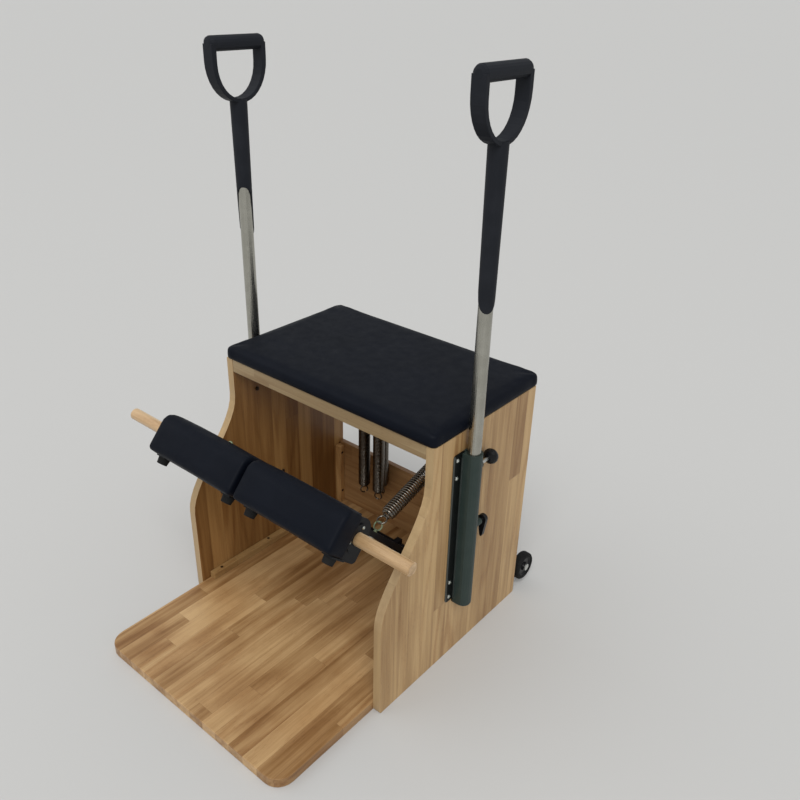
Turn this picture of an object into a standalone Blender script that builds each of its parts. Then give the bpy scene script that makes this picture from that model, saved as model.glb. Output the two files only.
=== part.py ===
"""A wooden split-pedal exercise chair with springs, an upholstered seat and two tall side handles.

Sizes are in metres. X runs towards the right side panel, -Y towards the pedals, +Z up.
The origin lies on the floor, midway between the side panels and under the middle of the seat.
Pedal pieces are written in the pedal's own directions: u runs out along the arms from the pivot,
and n stands square to the arms, up and back towards the seat.
"""

import math

import bmesh
import bpy
from mathutils import Euler, Matrix, Vector

# Clearances
GAP = 0.0003
RUNNING_GAP = 0.0004
SPRING_SELF_GAP = 0.0004

# Wooden body
INNER_WIDTH = 0.584
PANEL_THICKNESS = 0.020
PANEL_HEIGHT = 0.600
SEAT_FRONT_Y = -0.187
FOOT_FRONT_Y = -0.337
BODY_BACK_Y = 0.1865
CURVE_TOP_DROP = 0.095
CURVE_BOTTOM_Z = 0.235
PANEL_CORNER_RADIUS = 0.006
WOOD_EDGE_ROUNDING = 0.002

# Base board
BOARD_FRONT_Y = -0.612
BOARD_THICKNESS = 0.024
BOARD_CORNER_RADIUS = 0.040
BOARD_EDGE_ROUNDING = 0.004

# Back panel, rails and cleats
BACK_PANEL_THICKNESS = 0.0145
BACK_PANEL_TOP_Z = 0.220
SEAT_BOARD_THICKNESS = 0.018
FRONT_RAIL_THICKNESS = 0.018
FRONT_RAIL_HEIGHT = 0.032
REAR_RAIL_THICKNESS = 0.0185
REAR_RAIL_HEIGHT = 0.080
CLEAT_WIDTH = 0.018
CORNER_CLEAT_TOP_Z = 0.212
FLOOR_CLEAT_FRONT_Y = -0.312

# Seat cushion
SEAT_PAD_HALF_WIDTH = 0.3165
SEAT_PAD_FRONT_Y = -0.195
SEAT_PAD_BACK_Y = 0.202
SEAT_PAD_HEIGHT = 0.033
SEAT_PAD_CROWN = 0.004
SEAT_PAD_CORNER_RADIUS = 0.022

# Pedal pivot
PIVOT_Y = 0.085
PIVOT_Z = 0.044
PEDAL_ANGLE_DEG = 41.8
ARM_RISE_DEG = 3.45
AXLE_RADIUS = 0.008
HUB_RADIUS = 0.012
AXLE_BRACKET_THICKNESS = 0.008
AXLE_BRACKET_HALF_WIDTH = 0.015
AXLE_BRACKET_ABOVE = 0.017
CENTRE_BRACKET_HALF_WIDTH = 0.008
CENTRE_BRACKET_FOOT_HALF_WIDTH = 0.026
CENTRE_BRACKET_FOOT_THICKNESS = 0.004

# Pedals
PEDAL_INNER_X = 0.004
PEDAL_OUTER_X = 0.2765
BRACKET_OUTER_X = 0.2555
PEDALS_SHIFT_X = 0.008
ARM_INSET = 0.0135
ARM_WIDTH = 0.020
ARM_HEIGHT = 0.012
ARM_SETBACK = 0.016
BRACKET_SHEET = 0.0035
BRACKET_REACH = 0.629
BRACKET_END_DEPTH = 0.050
BRACKET_HEIGHT = 0.0915
BRACKET_ABOVE = 0.058
BRACKET_TOP_CORNER_RADIUS = 0.028
BRACKET_BOTTOM_CORNER_RADIUS = 0.010
BUMPER_INNER_INSET_X = 0.032
BUMPER_OUTER_INSET_X = 0.022
BUMPER_RADIUS = 0.0135
BUMPER_TIP_RADIUS = 0.0115
BUMPER_HEIGHT = 0.014
BUMPER_SETBACK = 0.0145
PEDAL_BOARD_THICKNESS = 0.012
PEDAL_PAD_HEIGHT = 0.094
PEDAL_PAD_DEPTH = 0.057
PEDAL_PAD_CORNER_RADIUS = 0.013
PEDAL_PAD_END_SHARE = 0.3
PEDAL_BOARD_INSET = 0.002

# Dowel
DOWEL_RADIUS = 0.014
DOWEL_SETBACK = 0.0155
DOWEL_DROP = 0.0417
DOWEL_LEFT_X = -0.454
DOWEL_RIGHT_X = 0.405
DOWEL_CHAMFER = 0.002
DOWEL_FLANGE_RADIUS = 0.030
DOWEL_FLANGE_THICKNESS = 0.004

# Spring eyes
EYE_RADIUS = 0.0094
EYE_WIRE_RADIUS = 0.0017
EYE_SHANK_RADIUS = 0.0024
EYE_FOOT_RADIUS = 0.005
EYE_FOOT_HEIGHT = 0.004
RAIL_EYE_DROP = 0.055
RAIL_EYE_REACH = 0.018
LONG_RAIL_EYE_REACH = 0.0485
ACTIVE_RAIL_EYE_X = 0.230
FIRST_HANGING_EYE_X = -0.1486
SECOND_HANGING_EYE_X = -0.097
THIRD_HANGING_EYE_X = -0.109
ARM_EYE_SETBACK = 0.108

# Springs
SPRING_WIRE_RADIUS = 0.0020
SPRING_OUTER_RADIUS = 0.0160
SPRING_HOOK_RADIUS = 0.0100
SPRING_NECK = 0.006
SPRING_FREE_LENGTH = 0.406
SPRING_CURLS = 16
POINTS_PER_CURL = 8
HOOK_POINTS = 7
HOOK_SWEEP_DEG = 300.0

# Handle receivers
HANDLE_YS = {-1: -0.084, 1: -0.076}
TUBE_RADIUS = 0.0145
TUBE_WALL = 0.002
RECEIVER_RADIUS = 0.019
RECEIVER_HEIGHT = 0.397
RECEIVER_TOP_DROP = 0.049
RECEIVER_FLOOR = 0.005
FLANGE_HALF_WIDTH = 0.045
FLANGE_THICKNESS = 0.003
FLANGE_RISE = 0.003
FLANGE_HEIGHT = 0.386
FLANGE_CORNER_RADIUS = 0.006
KNOB_DROP = 0.038
KNOB_BOSS_RADIUS = 0.009
KNOB_BOSS_REACH = 0.026
PIN_DROP = 0.194
PIN_BOSS_RADIUS = 0.0075
PIN_BOSS_REACH = 0.042

# Handles
TUBE_INSERTION = 0.221
TUBE_LENGTH = 0.810
SLEEVE_ABOVE_TUBE = 0.028
SLEEVE_TOP_RADIUS = 0.0188
SLEEVE_LOW_RADIUS = 0.0166
SLEEVE_LENGTH = 0.246
SLEEVE_TONGUE = 0.061
SLEEVE_TONGUE_SHARPNESS = 0.35
SLEEVE_TONGUE_AZIMUTH_DEG = 42.0
GRIP_HALF_WIDTH = 0.0715
GRIP_ABOVE_SLEEVE = 0.126
GRIP_SHOULDER_DROP = 0.048
GRIP_HEIGHT = 0.133
GRIP_THICKNESS = 0.0295
GRIP_BAR_RADIUS = 0.0155
GRIP_SIDE_WIDTH = 0.012
GRIP_HOLE_SHOULDER_DROP = 0.054
GRIP_BOTTOM_THICKNESS = 0.0085
GRIP_EDGE_ROUNDING = 0.0035
GRIP_BAR_ROUNDING = 0.008

# Lock knob and pull pin
KNOB_STEM_RADIUS = 0.004
KNOB_RADIUS = 0.0172
KNOB_NECK_RADIUS = 0.008
KNOB_START = 0.052
KNOB_LENGTH = 0.022
PIN_STEM_RADIUS = 0.003
PIN_HEAD_RADIUS = 0.0105
PIN_HEAD_START = 0.0505
PIN_HEAD_THICKNESS = 0.009
PIN_TAIL = 0.047
PIN_TAIL_RADIUS = 0.0035

# Rear wheels
WHEEL_Y = 0.237
WHEEL_Z = 0.050
WHEEL_RADIUS = 0.037
WHEEL_WIDTH = 0.024
WHEEL_OUTER_X = 0.314
RIM_RADIUS = 0.026
WHEEL_AXLE_RADIUS = 0.005
WHEEL_CAP_RADIUS = 0.009
WHEEL_CAP_THICKNESS = 0.003
WHEEL_PLATE = 0.004
WHEEL_PLATE_WIDTH = 0.058
WHEEL_PLATE_HALF_HEIGHT = 0.028
WHEEL_CHEEK_RADIUS = 0.014
WHEEL_SIDE_PLAY = 0.001

# Places worked out from the sizes above
HALF_INNER = INNER_WIDTH / 2
HALF_OUTER = HALF_INNER + PANEL_THICKNESS
BACK_PANEL_FRONT_Y = BODY_BACK_Y - BACK_PANEL_THICKNESS
REAR_RAIL_FRONT_Y = BODY_BACK_Y - REAR_RAIL_THICKNESS
CURVE_TOP_Z = PANEL_HEIGHT - CURVE_TOP_DROP
RECEIVER_BASE_X = HALF_OUTER + GAP
RECEIVER_TOP_Z = PANEL_HEIGHT - RECEIVER_TOP_DROP
RECEIVER_BOTTOM_Z = RECEIVER_TOP_Z - RECEIVER_HEIGHT
FLANGE_TOP_Z = RECEIVER_TOP_Z + FLANGE_RISE
FLANGE_BOTTOM_Z = FLANGE_TOP_Z - FLANGE_HEIGHT
KNOB_Z = RECEIVER_TOP_Z - KNOB_DROP
PIN_Z = RECEIVER_TOP_Z - PIN_DROP
HANDLE_X = RECEIVER_BASE_X + RECEIVER_RADIUS
TUBE_BOTTOM_Z = RECEIVER_TOP_Z - TUBE_INSERTION
TUBE_TOP_Z = TUBE_BOTTOM_Z + TUBE_LENGTH
SLEEVE_TOP_Z = TUBE_TOP_Z + SLEEVE_ABOVE_TUBE
SLEEVE_LOW_MIDDLE_Z = SLEEVE_TOP_Z - SLEEVE_LENGTH
GRIP_TOP_Z = SLEEVE_TOP_Z + GRIP_ABOVE_SLEEVE
GRIP_SHOULDER_Z = GRIP_TOP_Z - GRIP_SHOULDER_DROP
GRIP_BOTTOM_Z = GRIP_TOP_Z - GRIP_HEIGHT
GRIP_HOLE_SHOULDER_Z = GRIP_TOP_Z - GRIP_HOLE_SHOULDER_DROP
GRIP_HOLE_BOTTOM_Z = GRIP_BOTTOM_Z + GRIP_BOTTOM_THICKNESS
PIVOT = Vector((0.0, PIVOT_Y, PIVOT_Z))
PEDALS_PLACE = PIVOT + Vector((PEDALS_SHIFT_X, 0.0, 0.0))
PEDAL_TURN = Euler((-math.radians(PEDAL_ANGLE_DEG), 0.0, 0.0))
ARM_RISE = Euler((-math.radians(ARM_RISE_DEG), 0.0, 0.0))
ARM_TOP_N = ARM_HEIGHT / 2
BRACKET_WEB_U = BRACKET_REACH
BRACKET_REAR_U = BRACKET_REACH - BRACKET_END_DEPTH
BRACKET_TOP_N = BRACKET_ABOVE
BRACKET_BOTTOM_N = BRACKET_ABOVE - BRACKET_HEIGHT
DOWEL_U = BRACKET_WEB_U - DOWEL_SETBACK
DOWEL_N = BRACKET_TOP_N - DOWEL_DROP
PEDAL_BOARD_U = BRACKET_WEB_U + BRACKET_SHEET + GAP
PEDAL_PAD_U = PEDAL_BOARD_U + PEDAL_BOARD_THICKNESS + GAP
PEDAL_PAD_BOTTOM_N = BRACKET_BOTTOM_N + BRACKET_SHEET + GAP
HUB_OUTER_X = BRACKET_OUTER_X + 0.0065
HUB_INNER_X = CENTRE_BRACKET_HALF_WIDTH + 0.004
OUTER_ARM_X = BRACKET_OUTER_X - ARM_INSET - ARM_WIDTH
INNER_ARM_X = PEDAL_INNER_X + ARM_SETBACK
ARM_EYE_X = OUTER_ARM_X + ARM_WIDTH / 2
ARM_EYE_U = BRACKET_WEB_U - ARM_EYE_SETBACK
EYE_CENTRE_N = ARM_TOP_N + GAP + EYE_FOOT_HEIGHT + EYE_RADIUS
RAIL_EYE_Z = PANEL_HEIGHT - RAIL_EYE_DROP
HOOK_SEAT = EYE_WIRE_RADIUS + SPRING_WIRE_RADIUS + RUNNING_GAP


# Scene and materials


def clear_scene():
    for item in list(bpy.data.objects):
        bpy.data.objects.remove(item, do_unlink=True)


def make_collection(name):
    group = bpy.data.collections.new(name)
    bpy.context.scene.collection.children.link(group)
    return group


def make_material(name, colour, roughness, metallic=0.0):
    material = bpy.data.materials.new(name)
    material.use_nodes = True
    shader = material.node_tree.nodes["Principled BSDF"]
    shader.inputs["Base Color"].default_value = (*colour, 1.0)
    shader.inputs["Roughness"].default_value = roughness
    shader.inputs["Metallic"].default_value = metallic
    return material


clear_scene()
PARTS = make_collection("split_pedal_chair")
CUTTERS = make_collection("cutters")

WOOD = make_material("light_wood", (0.50, 0.34, 0.19), 0.55)
DOWEL_WOOD = make_material("dowel_wood", (0.62, 0.44, 0.26), 0.45)
VINYL = make_material("navy_vinyl", (0.012, 0.016, 0.026), 0.50)
BLACK_BOARD = make_material("black_board", (0.010, 0.011, 0.014), 0.65)
BLACK_STEEL = make_material("black_steel", (0.014, 0.015, 0.017), 0.45, 0.3)
GREY_STEEL = make_material("grey_green_steel", (0.045, 0.065, 0.062), 0.50, 0.2)
CHROME = make_material("chrome", (0.62, 0.62, 0.60), 0.12, 1.0)
ZINC = make_material("zinc_steel", (0.50, 0.52, 0.48), 0.35, 1.0)
SPRING_STEEL = make_material("spring_steel", (0.12, 0.11, 0.10), 0.40, 0.9)
BLACK_PLASTIC = make_material("black_plastic", (0.012, 0.012, 0.014), 0.40)
BLACK_RUBBER = make_material("black_rubber", (0.012, 0.012, 0.012), 0.75)
GRIP_RUBBER = make_material("grip_rubber", (0.008, 0.009, 0.014), 0.60)


# Modelling helpers


def add_object(name, data, material=None, parent=None, location=(0, 0, 0), rotation=(0, 0, 0)):
    item = bpy.data.objects.new(name, data)
    PARTS.objects.link(item)
    item.parent = parent
    item.location = location
    item.rotation_euler = rotation
    if material is not None:
        data.materials.append(material)
    return item


def mesh_object(name, bm, material=None, **place):
    bmesh.ops.recalc_face_normals(bm, faces=bm.faces)
    mesh = bpy.data.meshes.new(name)
    bm.to_mesh(mesh)
    bm.free()
    return add_object(name, mesh, material, **place)


def smooth(item, angle_deg=35.0):
    item.data.shade_smooth()
    item.data.set_sharp_from_angle(angle=math.radians(angle_deg))


def round_edges(item, width, segments=2):
    modifier = item.modifiers.new("rounded_edges", "BEVEL")
    modifier.width = width
    modifier.segments = segments
    modifier.limit_method = "ANGLE"
    modifier.angle_limit = math.radians(50.0)
    return modifier


def use_as_tool(item):
    """Takes a shape out of the parts: it only adds to or cuts another piece."""
    for group in list(item.users_collection):
        group.objects.unlink(item)
    CUTTERS.objects.link(item)
    item.hide_render = True
    item.display_type = "WIRE"


def combine(target, tool, operation):
    use_as_tool(tool)
    modifier = target.modifiers.new(operation.lower() + "_" + tool.name, "BOOLEAN")
    modifier.object = tool
    modifier.operation = operation
    modifier.solver = "EXACT"


def join(target, tool):
    combine(target, tool, "UNION")


def cut(target, tool):
    combine(target, tool, "DIFFERENCE")


def box(name, low, high, material=None, rounding=0.0, parent=None, segments=2):
    low = Vector(low)
    high = Vector(high)
    bm = bmesh.new()
    bmesh.ops.create_cube(bm, size=1.0)
    bmesh.ops.scale(bm, vec=high - low, verts=bm.verts)
    item = mesh_object(name, bm, material, parent=parent, location=(low + high) / 2)
    if rounding:
        round_edges(item, rounding, segments)
    return item


def rod(name, start, end, radius, material=None, parent=None, end_radius=None, segments=24):
    """A round bar or frustum between two points."""
    start = Vector(start)
    end = Vector(end)
    bm = bmesh.new()
    bmesh.ops.create_cone(
        bm,
        cap_ends=True,
        segments=segments,
        radius1=radius,
        radius2=radius if end_radius is None else end_radius,
        depth=(end - start).length,
    )
    turn = (end - start).to_track_quat("Z", "Y").to_matrix().to_4x4()
    bmesh.ops.transform(bm, matrix=turn, verts=bm.verts)
    item = mesh_object(name, bm, material, parent=parent, location=(start + end) / 2)
    smooth(item)
    return item


def ring(name, centre, normal, radius, wire_radius, material=None, parent=None):
    bpy.ops.mesh.primitive_torus_add(
        major_segments=14, minor_segments=6, major_radius=radius, minor_radius=wire_radius
    )
    item = bpy.context.object
    for group in list(item.users_collection):
        group.objects.unlink(item)
    PARTS.objects.link(item)
    item.name = name
    item.parent = parent
    item.location = centre
    item.rotation_euler = Vector(normal).to_track_quat("Z", "Y").to_euler()
    if material is not None:
        item.data.materials.append(material)
    smooth(item)
    return item


def turned(name, profile, material=None, parent=None, location=(0, 0, 0), rotation=(0, 0, 0), steps=24):
    """Turns a profile of (radius, height) points, listed down the outer side, about the local Z."""
    mesh = bpy.data.meshes.new(name)
    count = len(profile)
    edges = [(i, i + 1) for i in range(count - 1)]
    if profile[0][0] > 0.0:
        edges.append((count - 1, 0))
    mesh.from_pydata([(r, 0.0, z) for r, z in profile], edges, [])
    item = add_object(name, mesh, material, parent=parent, location=location, rotation=rotation)
    screw = item.modifiers.new("turned", "SCREW")
    screw.steps = steps
    screw.render_steps = steps
    screw.use_merge_vertices = True
    screw.merge_threshold = 0.00001
    screw.use_smooth_shade = True
    return item


def rounded_corner(before, corner, after, radius, steps=4):
    """Points of the arc that replaces a corner of an outline."""
    corner = Vector(corner)
    to_before = (Vector(before) - corner).normalized()
    to_after = (Vector(after) - corner).normalized()
    half = to_before.angle(to_after) / 2
    if radius <= 0.0:
        return [corner]
    centre = corner + (to_before + to_after).normalized() * radius / math.sin(half)
    start = corner + to_before * radius / math.tan(half) - centre
    end = corner + to_after * radius / math.tan(half) - centre
    sweep = start.angle_signed(end)
    return [centre + Matrix.Rotation(-sweep * k / steps, 2) @ start for k in range(steps + 1)]


def rounded_outline(corners, radii, steps=4):
    points = []
    count = len(corners)
    for i in range(count):
        points += rounded_corner(corners[i - 1], corners[i], corners[(i + 1) % count], radii[i], steps)
    return points


def plate(name, outlines, thickness, material=None, parent=None, location=(0, 0, 0), rotation=(0, 0, 0)):
    """A flat plate from closed 2D outlines: the first is its edge, the others are its holes."""
    curve = bpy.data.curves.new(name, "CURVE")
    curve.dimensions = "2D"
    curve.fill_mode = "BOTH"
    curve.extrude = thickness / 2
    for outline in outlines:
        spline = curve.splines.new("POLY")
        spline.points.add(len(outline) - 1)
        for point, place in zip(spline.points, outline):
            point.co = (place[0], place[1], 0.0, 1.0)
        spline.use_cyclic_u = True
    flat = add_object(name + "_outline", curve)
    graph = bpy.context.evaluated_depsgraph_get()
    mesh = bpy.data.meshes.new_from_object(flat.evaluated_get(graph))
    bpy.data.objects.remove(flat, do_unlink=True)
    bm = bmesh.new()
    bm.from_mesh(mesh)
    bpy.data.meshes.remove(mesh)
    bmesh.ops.remove_doubles(bm, verts=bm.verts, dist=0.00001)
    return mesh_object(name, bm, material, parent=parent, location=location, rotation=rotation)


# Turns an outline of (y, z) points, with its thickness along X, upright.
FACING_X = (math.pi / 2, 0.0, math.pi / 2)


def cushion(name, half_width, half_depth, corner_radius, rings, material, end_share=1.0, **place):
    """An upholstered block, lofted through (inset, height) rings whose ends draw in by a share of it."""
    bm = bmesh.new()
    loops = []
    for inset, height in rings:
        x = half_width - inset * end_share
        y = half_depth - inset
        radius = max(corner_radius - inset, 0.3 * corner_radius)
        outline = rounded_outline([(x, y), (-x, y), (-x, -y), (x, -y)], (radius,) * 4, steps=5)
        loops.append([bm.verts.new((point.x, point.y, height)) for point in outline])
    count = len(loops[0])
    for lower, upper in zip(loops, loops[1:]):
        for i in range(count):
            j = (i + 1) % count
            bm.faces.new((lower[i], lower[j], upper[j], upper[i]))
    bm.faces.new(loops[0][::-1])
    bm.faces.new(loops[-1])
    item = mesh_object(name, bm, material, **place)
    smooth(item, 50.0)
    return item


# Wooden body


def panel_front_y(height):
    """The front edge's S-curve, upright at both of its ends."""
    share = (CURVE_TOP_Z - height) / (CURVE_TOP_Z - CURVE_BOTTOM_Z)
    return SEAT_FRONT_Y + (FOOT_FRONT_Y - SEAT_FRONT_Y) * (3 - 2 * share) * share**2


def side_panel(name, side):
    curve_steps = 14
    heights = [
        CURVE_BOTTOM_Z + (CURVE_TOP_Z - CURVE_BOTTOM_Z) * k / curve_steps for k in range(curve_steps + 1)
    ]
    back_foot = Vector((BODY_BACK_Y, 0.0))
    front_foot = Vector((FOOT_FRONT_Y, 0.0))
    outline = [Vector((BODY_BACK_Y, PANEL_HEIGHT)), back_foot]
    outline += rounded_corner(back_foot, front_foot, (FOOT_FRONT_Y, CURVE_BOTTOM_Z), PANEL_CORNER_RADIUS)
    outline += [Vector((panel_front_y(height), height)) for height in heights]
    outline.append(Vector((SEAT_FRONT_Y, PANEL_HEIGHT)))
    item = plate(
        name, [outline], PANEL_THICKNESS, WOOD,
        location=(side * (HALF_INNER + PANEL_THICKNESS / 2), 0.0, 0.0), rotation=FACING_X,
    )
    round_edges(item, WOOD_EDGE_ROUNDING)


def base_board():
    half = HALF_INNER - GAP
    back = BACK_PANEL_FRONT_Y - GAP
    corners = [(half, back), (half, BOARD_FRONT_Y), (-half, BOARD_FRONT_Y), (-half, back)]
    outline = rounded_outline(corners, (0.0, BOARD_CORNER_RADIUS, BOARD_CORNER_RADIUS, 0.0), steps=6)
    item = plate("base_board", [outline], BOARD_THICKNESS, WOOD, location=(0.0, 0.0, BOARD_THICKNESS / 2))
    round_edges(item, BOARD_EDGE_ROUNDING)


def boards_and_rails():
    half = HALF_INNER - GAP
    top = PANEL_HEIGHT
    rail_back = SEAT_FRONT_Y + FRONT_RAIL_THICKNESS
    seat_bottom = top - SEAT_BOARD_THICKNESS
    box("back_panel", (-half, BACK_PANEL_FRONT_Y, GAP), (half, BODY_BACK_Y, BACK_PANEL_TOP_Z), WOOD, 0.0015)
    box("seat_board", (-half, rail_back + GAP, seat_bottom), (half, BODY_BACK_Y, top), WOOD)
    box("front_rail", (-half, SEAT_FRONT_Y, top - FRONT_RAIL_HEIGHT), (half, rail_back, top), WOOD, 0.0015)
    rail_top = seat_bottom - GAP
    rail_low = (-half, REAR_RAIL_FRONT_Y, rail_top - REAR_RAIL_HEIGHT)
    box("rear_rail", rail_low, (half, BODY_BACK_Y, rail_top), WOOD, 0.0015)


def cleats(name_side, side):
    near = side * (HALF_INNER - GAP)
    far = side * (HALF_INNER - GAP - CLEAT_WIDTH)
    low_x = min(near, far)
    high_x = max(near, far)
    corner_back = BACK_PANEL_FRONT_Y - GAP
    corner_front = corner_back - CLEAT_WIDTH
    floor = BOARD_THICKNESS + GAP
    box(
        name_side + "_corner_cleat",
        (low_x, corner_front, floor), (high_x, corner_back, CORNER_CLEAT_TOP_Z), WOOD, 0.001, segments=1,
    )
    floor_back = PIVOT_Y - AXLE_BRACKET_HALF_WIDTH - GAP
    box(
        name_side + "_floor_cleat",
        (low_x, FLOOR_CLEAT_FRONT_Y, floor), (high_x, floor_back, floor + CLEAT_WIDTH), WOOD, 0.001,
        segments=1,
    )


def seat_pad():
    middle_y = (SEAT_PAD_FRONT_Y + SEAT_PAD_BACK_Y) / 2
    half_depth = (SEAT_PAD_BACK_Y - SEAT_PAD_FRONT_Y) / 2
    shoulder = SEAT_PAD_HEIGHT - SEAT_PAD_CROWN
    rings = [
        (0.007, 0.0),
        (0.001, 0.006),
        (0.0, 0.015),
        (0.002, 0.022),
        (0.008, shoulder),
        (0.030, shoulder + 0.45 * SEAT_PAD_CROWN),
        (0.080, shoulder + 0.80 * SEAT_PAD_CROWN),
        (0.140, SEAT_PAD_HEIGHT),
    ]
    cushion(
        "seat_pad", SEAT_PAD_HALF_WIDTH, half_depth, SEAT_PAD_CORNER_RADIUS, rings, VINYL,
        location=(0.0, middle_y, PANEL_HEIGHT + GAP),
    )


# Pedal pivot


def pivot_axle():
    reach = HALF_INNER - 2 * GAP
    rod("pivot_axle", PIVOT - Vector((reach, 0, 0)), PIVOT + Vector((reach, 0, 0)), AXLE_RADIUS, ZINC)


def axle_hole(name, target):
    reach = Vector((HALF_OUTER, 0.0, 0.0))
    cut(target, rod(name, PIVOT - reach, PIVOT + reach, AXLE_RADIUS + GAP))


def axle_brackets():
    near = HALF_INNER - GAP
    floor = BOARD_THICKNESS + GAP
    for name, side in (("left", -1), ("right", 1)):
        xs = sorted((side * near, side * (near - AXLE_BRACKET_THICKNESS)))
        item = box(
            name + "_axle_bracket",
            (xs[0], PIVOT_Y - AXLE_BRACKET_HALF_WIDTH, floor),
            (xs[1], PIVOT_Y + AXLE_BRACKET_HALF_WIDTH, PIVOT_Z + AXLE_BRACKET_ABOVE),
            BLACK_STEEL,
        )
        axle_hole(name + "_axle_bracket_hole", item)
    centre = box(
        "centre_axle_bracket",
        (-CENTRE_BRACKET_HALF_WIDTH, PIVOT_Y - AXLE_BRACKET_HALF_WIDTH, floor),
        (CENTRE_BRACKET_HALF_WIDTH, PIVOT_Y + AXLE_BRACKET_HALF_WIDTH, PIVOT_Z + AXLE_BRACKET_ABOVE),
        BLACK_STEEL,
    )
    foot = box(
        "centre_axle_bracket_foot",
        (-CENTRE_BRACKET_FOOT_HALF_WIDTH, PIVOT_Y - AXLE_BRACKET_HALF_WIDTH, floor),
        (
            CENTRE_BRACKET_FOOT_HALF_WIDTH,
            PIVOT_Y + AXLE_BRACKET_HALF_WIDTH,
            floor + CENTRE_BRACKET_FOOT_THICKNESS,
        ),
    )
    join(centre, foot)
    axle_hole("centre_axle_bracket_hole", centre)


# Pedals


def pedal_point(x, u, n):
    """A point in the pedal's own frame, whose origin lies on the pivot."""
    return Vector((x, -u, n))


def pedal_box(name, side, xs, us, ns, material=None, parent=None, rounding=0.0):
    side_xs = sorted((side * xs[0], side * xs[1]))
    return box(
        name, (side_xs[0], -us[1], ns[0]), (side_xs[1], -us[0], ns[1]), material, rounding, parent, 1
    )


def pedal_frame(name, side, pedal, arms):
    """The hub tube on the axle and the two arms welded to it."""
    hub_start = pedal_point(side * HUB_INNER_X - PEDALS_SHIFT_X, 0.0, 0.0)
    hub_end = pedal_point(side * HUB_OUTER_X - PEDALS_SHIFT_X, 0.0, 0.0)
    frame = rod(name + "_frame", hub_start, hub_end, HUB_RADIUS, BLACK_STEEL, pedal)
    rise = math.radians(ARM_RISE_DEG)
    arm_end = (BRACKET_WEB_U - GAP - ARM_HEIGHT / 2 * math.sin(rise)) / math.cos(rise)
    for label, start_x in (("outer", OUTER_ARM_X), ("inner", INNER_ARM_X)):
        arm = pedal_box(
            name + "_" + label + "_arm", side, (start_x, start_x + ARM_WIDTH),
            (0.0, arm_end), (ARM_TOP_N - ARM_HEIGHT, ARM_TOP_N), parent=arms,
        )
        join(frame, arm)
    bore_reach = Vector((side * 0.01, 0.0, 0.0))
    bore = rod(
        name + "_hub_bore", hub_start - bore_reach, hub_end + bore_reach, AXLE_RADIUS + RUNNING_GAP,
        parent=pedal,
    )
    cut(frame, bore)


def bracket_end(name, side, x, pedal):
    """An end plate of the bracket: round at the back, with its front edge on the web."""
    front = -(BRACKET_WEB_U + BRACKET_SHEET)
    rear = -BRACKET_REAR_U
    corners = [(front, BRACKET_BOTTOM_N), (rear, BRACKET_BOTTOM_N), (rear, BRACKET_TOP_N), (front, BRACKET_TOP_N)]
    radii = (0.0, BRACKET_BOTTOM_CORNER_RADIUS, BRACKET_TOP_CORNER_RADIUS, 0.0)
    outline = rounded_outline(corners, radii)
    return plate(
        name, [outline], BRACKET_SHEET, None, parent=pedal, location=(side * x, 0.0, 0.0), rotation=FACING_X
    )


def dowel_bore(name, target, pedal, radius):
    reach = 2 * PEDAL_OUTER_X
    tool = rod(
        name, pedal_point(-reach, DOWEL_U, DOWEL_N), pedal_point(reach, DOWEL_U, DOWEL_N), radius,
        parent=pedal,
    )
    cut(target, tool)


def pedal_bracket(name, side, pedal):
    """A folded sheet: the web behind the pad, two ends that hold the dowel and two bumper tongues."""
    web_us = (BRACKET_WEB_U, BRACKET_WEB_U + BRACKET_SHEET)
    bracket = pedal_box(
        name + "_bracket", side, (PEDAL_INNER_X, BRACKET_OUTER_X + BRACKET_SHEET), web_us,
        (BRACKET_BOTTOM_N, BRACKET_TOP_N), BLACK_STEEL, pedal,
    )
    for label, x in (
        ("inner", PEDAL_INNER_X + BRACKET_SHEET / 2),
        ("outer", BRACKET_OUTER_X + BRACKET_SHEET / 2),
    ):
        join(bracket, bracket_end(name + "_bracket_" + label + "_end", side, x, pedal))
    for label, x in bumper_places():
        tongue = pedal_box(
            name + "_" + label + "_tongue", side, (x - BUMPER_RADIUS, x + BUMPER_RADIUS),
            (BRACKET_WEB_U, BRACKET_WEB_U + BUMPER_SETBACK + 2 * BUMPER_RADIUS),
            (BRACKET_BOTTOM_N, BRACKET_BOTTOM_N + BRACKET_SHEET), parent=pedal,
        )
        join(bracket, tongue)
    dowel_bore(name + "_bracket_bore", bracket, pedal, DOWEL_RADIUS + RUNNING_GAP)


def bumper_places():
    return (("inner", PEDAL_INNER_X + BUMPER_INNER_INSET_X), ("outer", PEDAL_OUTER_X - BUMPER_OUTER_INSET_X))


def pedal_bumpers(name, side, pedal):
    for label, x in bumper_places():
        u = BRACKET_WEB_U + BUMPER_SETBACK + BUMPER_RADIUS
        top = BRACKET_BOTTOM_N - GAP
        rod(
            name + "_" + label + "_bumper",
            pedal_point(side * x, u, top), pedal_point(side * x, u, top - BUMPER_HEIGHT),
            BUMPER_RADIUS, BLACK_RUBBER, pedal, BUMPER_TIP_RADIUS, segments=16,
        )


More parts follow.
